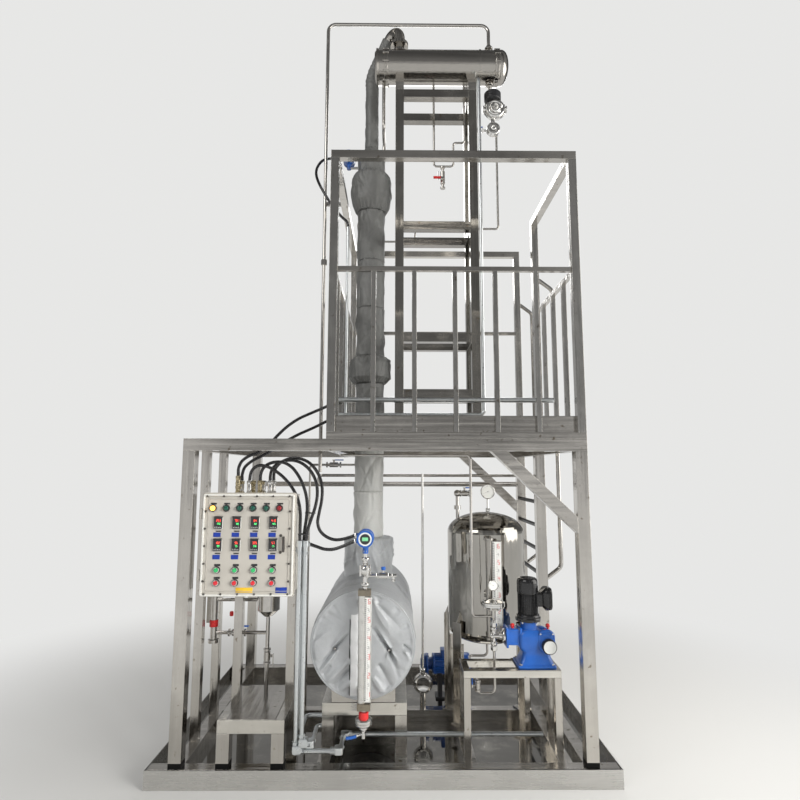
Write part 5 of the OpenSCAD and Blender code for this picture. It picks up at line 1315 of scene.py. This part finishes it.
# %% Press the lantern and set the plugs
LANTERN = [(0.003, 0.050), (0, 0.048), (0, -0.046), (0.0015, -0.0485), (0.0035, -0.0490), (0.0085, -0.0490),
           (0.0100, -0.0465), (0.0120, -0.0460)]
HEAD_PLATE = [(0.002, 0.727), (0, 0.729), (0, 0.7375), (0.0015, 0.740)]
BODY_PLATE = [(0.002, 0.808), (0, 0.810), (0, 0.820), (0.0015, 0.822)]
rows += [pressed((0.080, 0.092), 0.004, LANTERN, (0.776, PY, 0.716), "y", n=4),
         pressed((0.108, 0.116), 0.006, HEAD_PLATE, (0, PY, 0.712), "x", n=4),
         pressed((0.112, 0.120), 0.006, BODY_PLATE, (0, PY, 0.710), "x", n=4),
         pressed((0.070, 0.080), 0.010, [(0, 0.050), (0, -0.050)], (0.834, PY, 0.700), "y", n=4)]
for dy in (-0.045, 0.045):
    for dz in (-0.050, 0.050):
        rows.append(hexagon(0.011, 0.802, 0.809, (0, PY + dy, 0.710 + dz), "x", paint=chrome))


def plug(x, y, z, r):
    """A domed oil plug on a short neck; its profile is written in shares of the radius r."""
    dome = [(r * 0.55, -0.004), (r * 0.6, 0.006), (r * 0.92, 0.008), (r, 0.013), (r * 0.95, 0.020),
            (r * 0.7, 0.0255), (r * 0.3, 0.0275), (0.0004, 0.028)]
    return turned(dome, (x, y, z), n=24, paint=flag_red)


rows += [plug(0.772, PY - 0.012, 0.762, 0.0135), plug(0.985, PY - 0.020, 0.762, 0.0130),
         plug(0.958, PY - 0.054, 0.738, 0.0110)]
pump_paints = [blue, flag_red, black, chrome, white_plastic, gloss_black]
pump = make_piece("dosing_pump_body", rows, pump_paints, "pump_body", angle=42)
print("pump body", len(pump.data.polygons), "faces")

# %% Stand the motor on it
MZ = PZ + 0.278
CORE_R, COLUMNS_ROUND = 0.0545, 288
t = full_turn(COLUMNS_ROUND)
finned = 0.0560 + 0.0055 * (np.cos(36 * t) > 0.35)
body = []
for h, share in ((0.012, 0.0), (0.016, 1.0), (0.146, 1.0), (0.150, 0.0)):
    r = CORE_R + (finned - CORE_R) * share
    body.append(np.stack([PX + r * np.cos(t), PY + r * np.sin(t), np.full(COLUMNS_ROUND, MZ + h)], 1))
at = (PX, PY, MZ)
MOTOR_FOOT = [(0.066, 0.0), (0.0690, 0.001), (0.0690, 0.012), (0.066, 0.016), (0.057, 0.017)]
FAN_COVER = [(0.058, 0.138), (0.0625, 0.140), (0.0638, 0.143), (0.0640, 0.150), (0.0640, 0.203),
             (0.0625, 0.214), (0.0585, 0.2235), (0.0520, 0.2295), (0.0430, 0.2320), (0.0400, 0.2312),
             (0.0370, 0.2318), (0.0005, 0.2320)]
BOX = [(0.026, 0.078), (0.020, 0.084), (0.004, 0.098), (0.0, 0.104), (0.0, 0.118), (0.0012, 0.119),
       (0.0, 0.120), (0.0, 0.133), (0.003, 0.138), (0.010, 0.1405), (0.030, 0.1405)]
rows = [dict(grid=np.array(body)), turned(MOTOR_FOOT, at, n=56), turned(FAN_COVER, at, n=72),
        pressed((0.074, 0.084), 0.012, [(0, 0.050), (0, 0.092)], (PX, PY, MZ + 0.104), "x", n=5),
        pressed((0.118, 0.134), 0.034, BOX, (PX, PY, MZ + 0.108), "x", n=9),
        turned([(0.012, -0.072), (0.014, -0.070), (0.014, -0.050)], (PX + 0.118, PY, MZ + 0.108), "z", 20)]
for k in range(7):
    r = 0.010 + 0.004 * k
    grille = [(r, 0.2312), (r, 0.2330), (r + 0.0015, 0.2330), (r + 0.0015, 0.2312)]
    rows.append(turned(grille, at, n=40, loop=True))
for k in range(4):
    a = math.pi / 4 + k * math.pi / 2
    cover_screw = (PX, PY + 0.040 * math.cos(a), MZ + 0.108 + 0.046 * math.sin(a))
    rows.append(hexagon(0.009, 0.139, 0.143, cover_screw, "x"))
rows += [hexagon(0.012, 0.014, 0.022, p) for p in around(4, 0.0615, at)]
motor = make_piece("dosing_pump_motor", rows, [gloss_black], "pump_motor", angle=40)
print("motor", len(motor.data.polygons), "faces")

# %% Turn the pump head
head_at, stem_at = (0.726, PY, 0.714), (0.660, PY, 0.714)
HEAD = [(0.036, 0.0), (0.042, -0.002), (0.042, -0.011), (0.040, -0.014), (0.023, -0.016)]
STEM = [(0.0125, -0.090), (0.0130, -0.089), (0.0130, 0.089), (0.0125, 0.090)]
SPIGOT = [(0.0175, -0.004), (0.0175, -0.088), (0.016, -0.090)]
rows = [turned(HEAD, head_at, "x", 44), turned(SPIGOT, head_at, "x", 36),
        ring_clamp(0.023, -0.026, head_at, "x"), ring_clamp(0.023, -0.078, head_at, "x"),
        turned(STEM, stem_at, n=28), hexagon(0.040, -0.086, -0.058, stem_at),
        hexagon(0.040, 0.054, 0.082, stem_at), ring_clamp(0.021, -0.044, stem_at),
        ring_clamp(0.021, 0.040, stem_at)]
rows += [hexagon(0.011, -0.020, -0.010, p, "x") for p in around(6, 0.033, head_at, "x", 0)]
make_piece("dosing_pump_head", rows, [chrome], "pump_head")
print("pump head", len(rows), "patches")

# %% [markdown]
# ## Transfer pump
# Behind the receiver a small pump moves the product. Its motor has cooling fins along the barrel: a
# turned tube in which two of every six columns stand out by an eighth. The end shields, the fan
# cover and the volute are lathe profiles, and it stands on two plates and a base.

# %% Cast the transfer pump
TX, TY, TZ = 0.340, 0.350, 0.265
at = (TX, TY, TZ)
# The transfer pump's blue is darkened as painted shade, for the shade behind the receiver.
pump_blue_in_painted_shade = finish("blue_enamel_in_painted_shade", (0.010, 0.060, 0.25), 0.34, 0.0, [
    clouds(12, 4, 0.15, 0.06), dict(scale=160, detail=2, bump=0.0003)], Coat_Weight=0.2)
barrel = turned([(0.060, 0.008), (0.0655, 0.010), (0.0655, 0.216), (0.060, 0.218)], at, "x", 144)["grid"]
axis_yz = np.array((TY, TZ))
stand_out = np.where(np.arange(barrel.shape[1]) % 6 < 2, 1.125, 1.0)[None, :, None]
barrel[1:3, :, 1:] = axis_yz + (barrel[1:3, :, 1:] - axis_yz) * stand_out
FAN_END = [(0.070, 0.226), (0.0775, 0.230), (0.0785, 0.233), (0.0785, 0.268), (0.072, 0.279),
           (0.024, 0.280), (0.022, 0.276), (0.0004, 0.276)]
VOLUTE = [(0.044, -0.034), (0.072, -0.037), (0.075, -0.041), (0.075, -0.050), (0.070, -0.054),
          (0.070, -0.074), (0.064, -0.083), (0.040, -0.086), (0.038, -0.090), (0.018, -0.090)]
rows = [dict(grid=barrel)]
for x in (0.0, 0.214):
    shield = [(0.050, x - 0.003), (0.073, x - 0.002), (0.0745, x), (0.0745, x + 0.012), (0.073, x + 0.014),
              (0.050, x + 0.015)]
    rows.append(turned(shield, at, "x", 64))
rows += [turned(FAN_END, at, "x", 64), turned(VOLUTE, at, "x", 64),
         turned([(0.048, -0.042), (0.046, -0.030), (0.046, -0.012), (0.052, 0.0)], at, "x", 48),
         pressed((0.100, 0.090), 0.010, [(0, 0.318), (0, 0.368), (0.002, 0.373), (0.008, 0.375)],
                 (0.450, TY, 0), "z"),
         pressed((0.190, 0.120), 0.006, [(0, 0.030), (0, 0.042), (0.002, 0.044)], (0.455, TY, 0), "z",
                 paint=black)]
for x in (0.395, 0.505):
    rows.append(pressed((0.030, 0.100), 0.003, [(0, 0.043), (0, 0.215)], (x, TY, 0), "z", paint=black))
rows += [hexagon(0.012, -0.042, -0.029, p, "x") for p in around(8, 0.066, at, "x")]
make_piece("transfer_pump_body", rows, [pump_blue_in_painted_shade, black], "transfer_pump")
print("transfer pump", len(rows), "patches")

# %% [markdown]
# ## Elbow boxes of the conduits
# A conduit doesn't bend sharply: at a corner its two ends screw into a small cast box with a cap
# nut at each mouth. Each box here is a pressed cushion round the bend, with two hexagon nuts.

# %% Cast the elbow boxes
FRONT_Y, RUN_Y = -0.790, -0.5925
CUSHION = [(0.006, -0.020), (0.001, -0.018), (0, -0.014), (0, 0.014), (0.001, 0.018), (0.006, 0.020)]


def elbow_box(p, first, second):
    """A box at the corner p of two pipes that leave along first and second, each an axis and a sign:
    its middle lies 10 mm from p along both, and its flat sides face along the third axis."""
    axes = "xyz"
    flat = (set(axes) - {first[0], second[0]}).pop()
    middle = np.array(p, float)
    for axis, sign in (first, second):
        middle[axes.index(axis)] += 0.010 * sign
    made = [pressed((0.050, 0.050), 0.014, CUSHION, middle, flat)]
    for axis, sign in (first, second):
        low, high = sorted((0.034 * sign, 0.050 * sign))
        made.append(hexagon(0.040, low, high, p, axis))
    return made


rows = []
for p, first, second in (((-0.495, FRONT_Y, 0.172), ("z", 1), ("x", 1)),
                         ((-0.245, FRONT_Y, 0.172), ("x", -1), ("y", 1)),
                         ((-0.245, RUN_Y, 0.172), ("y", -1), ("x", 1)),
                         ((-0.460, FRONT_Y, 0.208), ("z", 1), ("x", 1)),
                         ((-0.405, FRONT_Y, 0.208), ("x", -1), ("y", 1))):
    rows += elbow_box(p, first, second)
make_piece("conduit_elbows", rows, [zinc])
print("conduit elbows", len(rows), "patches")

# %% [markdown]
# ## Dial gauges
# A dial gauge is a turned steel case with a glass, a white face, ticks on three quarters of a
# circle and one black needle. The ticks are real slivers of plastic on the face, so the dial
# needs no picture.

# %% Turn the dial gauges
CASE_SHARES = [(0.80, 0.20), (0.94, 0.18), (0.96, -0.10), (0.995, -0.12), (1.0, -0.18), (0.96, -0.195),
               (0.89, -0.190), (0.88, -0.140)]


def dial(x, y, z, d, stem_low, turn_to):
    """Case and face of diameter d round (x, z); tick k stands at the angle 225 - 270 k / 20 degrees.
    The case's depths are shares of the diameter."""
    r = d / 2
    c = (x, 0, z)
    case = [(r * share, y + d * depth) for share, depth in CASE_SHARES]
    face = y - 0.15 * d
    rows = [turned(case, c, "y", 60),
            turned([(r * 0.885, y - 0.10 * d), (r * 0.885, face), (0.0005, face)], c, "y", 60,
                   paint=white_dial),
            rod(d * 0.08, stem_low, z - r * 0.85, (x, y, 0), n=20),
            hexagon(d * 0.29, stem_low + d * 0.02, stem_low + d * 0.26, (x, y, 0))]

    def hand(angle, reaches, depth, width, thick):
        """A flat bar on the face along one angle; reaches are shares of the radius."""
        a = math.radians(angle)
        points = [(x + r * reach * math.cos(a), face - depth, z + r * reach * math.sin(a))
                  for reach in reaches]
        return bar(points, width, thick, paint=black)

    for k in range(21):
        long = 0.11 if k % 5 == 0 else 0.06
        middle = 0.80 - long / 2
        reaches = (middle - long / 2, middle, middle + long / 2)
        rows.append(hand(225 - 270 * k / 20, reaches, 0.0004, 0.015 * d, 0.015 * d))
    rows.append(hand(turn_to, (-0.2, 0.2, 0.68), 0.0010, 0.0014 * d / 0.06, 0.0008))
    rows.append(turned([(d * 0.03, face), (d * 0.03, face - 0.0020), (0.0004, face - 0.0024)], c, "y", 16,
                       paint=black))
    return rows


rows = dial(0.702, -0.130, 1.566, 0.100, 1.426, 200) + dial(0.660, -0.540, 1.011, 0.062, 0.920, 150)
print("gauges", len(rows), "patches")

# %% Seat the lower gauge on a diaphragm seal
seal = (0.660, -0.540, 0.900)
DISHES = [(0.016, -0.036), (0.040, -0.028), (0.056, -0.015), (0.068, -0.013), (0.070, -0.011),
          (0.070, -0.002), (0.066, -0.001), (0.066, 0.001), (0.070, 0.002), (0.070, 0.011), (0.068, 0.013),
          (0.056, 0.015), (0.036, 0.026), (0.014, 0.034)]
rows.append(turned(DISHES, seal, n=64))
rows += [hexagon(0.011, -0.020, 0.020, p) for p in around(8, 0.0615, seal)]
make_piece("dial_gauges", rows, [chrome, white_dial, black], "pressure_gauges")
print("with the seal", len(rows), "patches")

# %% [markdown]
# ## Condenser ends and the reflux valve
# The condenser is closed by a flat bolted cover at the left and a pressed dome at the right. The
# valve under it has a black actuator with ribs and a steel body of flanged discs. The discs
# are lathe profiles with small chamfers, and the bolts are hexagons set round them.

# %% Roll the condenser
CY, CZ, CR = -0.162, 4.772, 0.122
LEFT, RIGHT = -0.080, 0.800
NOZZLE_X, OUTLET_X = 0.077, 0.765
axis_at, nozzle_at, outlet_at = (0, CY, CZ), (NOZZLE_X, CY, 0), (OUTLET_X, CY, 0)


def flange_ring(x0, x1, r):
    """A plain ring on the condenser's axis, from x0 to x1, with 1.5 mm chamfers."""
    inner, s = CR * 0.96, 0.0015
    profile = [(inner, x0), (r - s, x0), (r, x0 + s), (r, x1 - s), (r - s, x1), (inner, x1)]
    return turned(profile, axis_at, "x", 80)


def pipe(r, low, high, place, n, axis="z"):
    """An open tube with a 4 mm wall."""
    return turned([(r - 0.004, low), (r, low), (r, high), (r - 0.004, high)], place, axis, n, loop=True)


rows = [pipe(CR, LEFT, RIGHT, axis_at, 96, "x"),
        pipe(0.038, CZ + 0.110, 4.945, nozzle_at, 40), pipe(0.019, CZ + 0.100, 4.958, outlet_at, 32),
        turned([(0.0185, 4.622), (0.0190, 4.624), (0.0190, CZ - 0.08)], outlet_at, n=32),
        ring_clamp(0.030, 4.935, outlet_at), ring_clamp(0.030, 4.634, outlet_at),
        flange_ring(-0.036, -0.024, 0.131), flange_ring(-0.022, -0.011, 0.131),
        flange_ring(0.680, 0.692, 0.1265)]


def stud(low, high, place):
    """A six-sided bolt along x whose ends are drawn in."""
    return bevelled(0.0062, low, high, 0.0017, place, "x", 6)


rows += [stud(-0.0475, -0.001, p) for p in around(12, 0.1265, axis_at, "x")]
rows += [ring_clamp(0.040 + 0.004 * k, 4.925 - 0.012 * k, nozzle_at) for k in range(3)]
make_piece("condenser_barrel", rows, [polished], "condenser_shell", angle=35)
print("condenser", len(rows), "patches")

# %% Close its two ends
FLAT_COVER = [(0.118, 0.000), (0.1275, -0.001), (0.129, -0.003), (0.129, -0.014), (0.127, -0.0165),
              (0.112, -0.018), (0.108, -0.0235), (0.104, -0.027), (0.096, -0.0285), (0.0005, -0.0290)]
DOME = [(0.118, -0.002), (0.1305, -0.001), (0.132, 0.001), (0.132, 0.0115), (0.130, 0.0130),
        (0.130, 0.0142), (0.132, 0.0155), (0.132, 0.027), (0.1305, 0.029), (0.1245, 0.030), (0.1240, 0.052),
        (0.1225, 0.0570), (0.117, 0.0690), (0.107, 0.0810), (0.091, 0.0915), (0.069, 0.1000),
        (0.044, 0.1060), (0.018, 0.1085), (0.0005, 0.1088)]
right_at = (RIGHT, CY, CZ)
rows = [turned(FLAT_COVER, (LEFT, CY, CZ), "x", 72), turned(DOME, right_at, "x", 80)]
rows += [stud(-0.008, 0.035, p) for p in around(12, 0.1270, right_at, "x")]
make_piece("condenser_covers", rows, [polished], "condenser_ends", angle=35)
print("condenser covers", len(rows), "patches")

# %% Cut the saddles
CRADLE_R, LOW_Z, STEP_Z, HORN_Z, HORN_Y = 0.1205, 4.473, 4.533, 4.636, 0.086
(x_low, _, _), (x_high, y_high, _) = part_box("condenser_saddles")
half = y_high - CY
seat = [(CRADLE_R * math.cos(a), CZ + CRADLE_R * math.sin(a))
        for a in np.radians(np.linspace(-55, -125, 21))]
outline = ([(half, LOW_Z), (half, STEP_Z), (HORN_Y, HORN_Z)] + seat
           + [(-HORN_Y, HORN_Z), (-half, STEP_Z), (-half, LOW_Z)])
PLATE_X = 0.060
rows = [dict(grid=np.array([[(x, CY + y, z) for y, z in outline] for x in (x0, x0 + PLATE_X)]))
        for x0 in (x_low, x_high - PLATE_X)]
make_piece("condenser_cradles", rows, [steel_x], "condenser_saddles")
print("cradle half width", round(half, 3))

# %% Build the reflux valve
VX, TOP = 0.787, 4.622
v = (VX, CY, 0)
side_at = (VX + 0.014, CY, TOP - 0.191)
low_at = (VX, CY, TOP - 0.362)
ACTUATOR = [(0.050, -0.122), (0.060, -0.121), (0.063, -0.116), (0.063, -0.104), (0.060, -0.102),
            (0.060, -0.098), (0.063, -0.096), (0.063, -0.084), (0.060, -0.082), (0.060, -0.078),
            (0.063, -0.076), (0.063, -0.064), (0.058, -0.058), (0.040, -0.056)]
DISCS = [(0.068, 0.030), (0.072, 0.027), (0.0725, 0.010), (0.078, 0.0095), (0.0815, 0.008),
         (0.0815, -0.007), (0.078, -0.009), (0.0725, -0.0095), (0.072, -0.026), (0.068, -0.030),
         (0.060, -0.031), (0.057, -0.025), (0.050, -0.022), (0.044, -0.025), (0.039, -0.036),
         (0.034, -0.040), (0.026, -0.042), (0.018, -0.042)]
SNOUT = [(0.018, -0.028), (0.0215, -0.031), (0.0215, -0.062), (0.019, -0.0655), (0.0135, -0.066),
         (0.013, -0.050), (0.0005, -0.049)]
SIDE_PORTS = [(0.022, -0.091), (0.027, -0.090), (0.0275, -0.082), (0.020, -0.080), (0.020, 0.080),
              (0.0275, 0.082), (0.027, 0.090), (0.022, 0.091)]
rows = [rod(0.011, -0.060, 0, (OUTLET_X, CY, TOP), n=24),
        turned(ACTUATOR, (VX, CY, TOP), n=56, paint=black),
        rod(0.023, TOP - 0.200, TOP - 0.118, v, n=32), turned(DISCS, side_at, "y", 72),
        turned(SNOUT, side_at, "y", 36), turned(SIDE_PORTS, side_at, "x", 36)]
rows += [hexagon(0.013, -0.017, 0.016, p, "y") for p in around(8, 0.0765, side_at, "y")]

# %% Hang the sample cock under it
COCK = [(0.044, 0.024), (0.0485, 0.021), (0.0485, -0.021), (0.044, -0.025), (0.038, -0.0255),
        (0.035, -0.019), (0.026, -0.018), (0.021, -0.030), (0.013, -0.034), (0.009, -0.030),
        (0.0004, -0.029)]
handle = [(VX - 0.118, CY, TOP - 0.336), (VX - 0.100, CY, TOP - 0.334), (VX - 0.078, CY, TOP - 0.333)]
rows += [rod(0.0150, TOP - 0.340, TOP - 0.190, v, n=28), turned(COCK, (VX, CY, TOP - 0.352), "y", 48),
         turned([(0.0125, -0.410), (0.0130, -0.408), (0.0130, -0.362)], (VX + 0.023, CY, TOP), n=24),
         rod(0.009, -0.150, -0.040, low_at, "x", 20), rod(0.0155, -0.130, -0.092, low_at, "x", 24),
         hexagon(0.034, -0.146, -0.136, low_at, "x"), hexagon(0.034, -0.086, -0.076, low_at, "x"),
         bar(handle, 0.014, 0.005, paint=blue), rod(0.006, 0.0, 0.026, (VX - 0.110, CY, TOP - 0.362), n=14)]
make_piece("reflux_valve_body", rows, [chrome, black, blue], "reflux_valve")
print("reflux valve", len(rows), "patches")

# %% [markdown]
# ## Sight body, lever sleeves and caps
# The riser stands on a round polished body closed by a ring of bolts. The ball valves' levers wear
# short vinyl sleeves in blue or red, which tell the lines apart, and two gauges end in red caps.

# %% Turn the riser's body
RX, RY, RZ = 0.249, -0.050, 0.265
riser_at = (RX, RY, RZ)
SIGHT = [(0.050, 0.030), (0.056, 0.027), (0.059, 0.020), (0.059, 0.0075), (0.0665, 0.007), (0.067, 0.006),
         (0.067, -0.006), (0.0665, -0.007), (0.059, -0.0075), (0.059, -0.020), (0.056, -0.027),
         (0.046, -0.030), (0.044, -0.0265), (0.024, -0.022), (0.0005, -0.0205)]
JOINT = [(0.010, 0.054), (0.017, 0.056), (0.017, 0.070), (0.013, 0.074), (0.013, 0.080), (0.017, 0.084),
         (0.017, 0.094), (0.010, 0.096)]
rows = [turned(SIGHT, riser_at, "y", 72), rod(0.0095, 0.0, 0.315, (RX, -0.020, RZ), "y", 28),
        rod(0.008, 0.052, 1.425, riser_at, n=28), turned(JOINT, riser_at, n=32),
        rod(0.020, 0.100, RZ - 0.054, (RX, RY, 0), n=32)]
rows += [hexagon(0.012, -0.015, 0.015, p, "y") for p in around(8, 0.0615, riser_at, "y")]
make_piece("riser_body", rows, [chrome], "riser")
print("riser", len(rows), "patches")

# %% Sleeve the levers
THIN = 0.0085


def vinyl(start, along, length, paint, width, thick):
    """A vinyl sleeve: a flat bar of the length from start, along one axis."""
    u = basis(along)[2]
    return bar([np.array(start) + u * length * k for k in np.linspace(0, 1, 6)], width, thick, paint=paint)


rows = [vinyl((-0.392, 0.080, 1.7895), "x", 0.063, blue, 0.019, THIN),
        vinyl((0.3315, -0.1965, 3.866), "x", 0.0535, red_paint, THIN, 0.019),
        vinyl((0.5235, -0.540, 0.433), "z", 0.043, blue, THIN, 0.0185),
        vinyl((-0.928, -0.420, 0.7385), "x", 0.062, blue, 0.0205, THIN),
        vinyl((0.548, -0.130, 1.5935), "x", 0.047, blue, 0.0205, THIN)]
make_piece("lever_sleeves", rows, [blue, red_paint])
print("lever sleeves", len(rows))

# %% Cap the small gauges
BIG_CAP = [(0.018, 0.735), (0.026, 0.737), (0.027, 0.740), (0.027, 0.774), (0.025, 0.778), (0.018, 0.779)]
SMALL_CAP = [(0.010, 0.800), (0.012, 0.802), (0.012, 0.824), (0.008, 0.828)]
rows = [turned(BIG_CAP, (-1.085, -0.420, 0), n=36), turned(SMALL_CAP, (-0.976, -0.420, 0), n=24)]
make_piece("red_caps", rows, [flag_red])
print("small parts done")
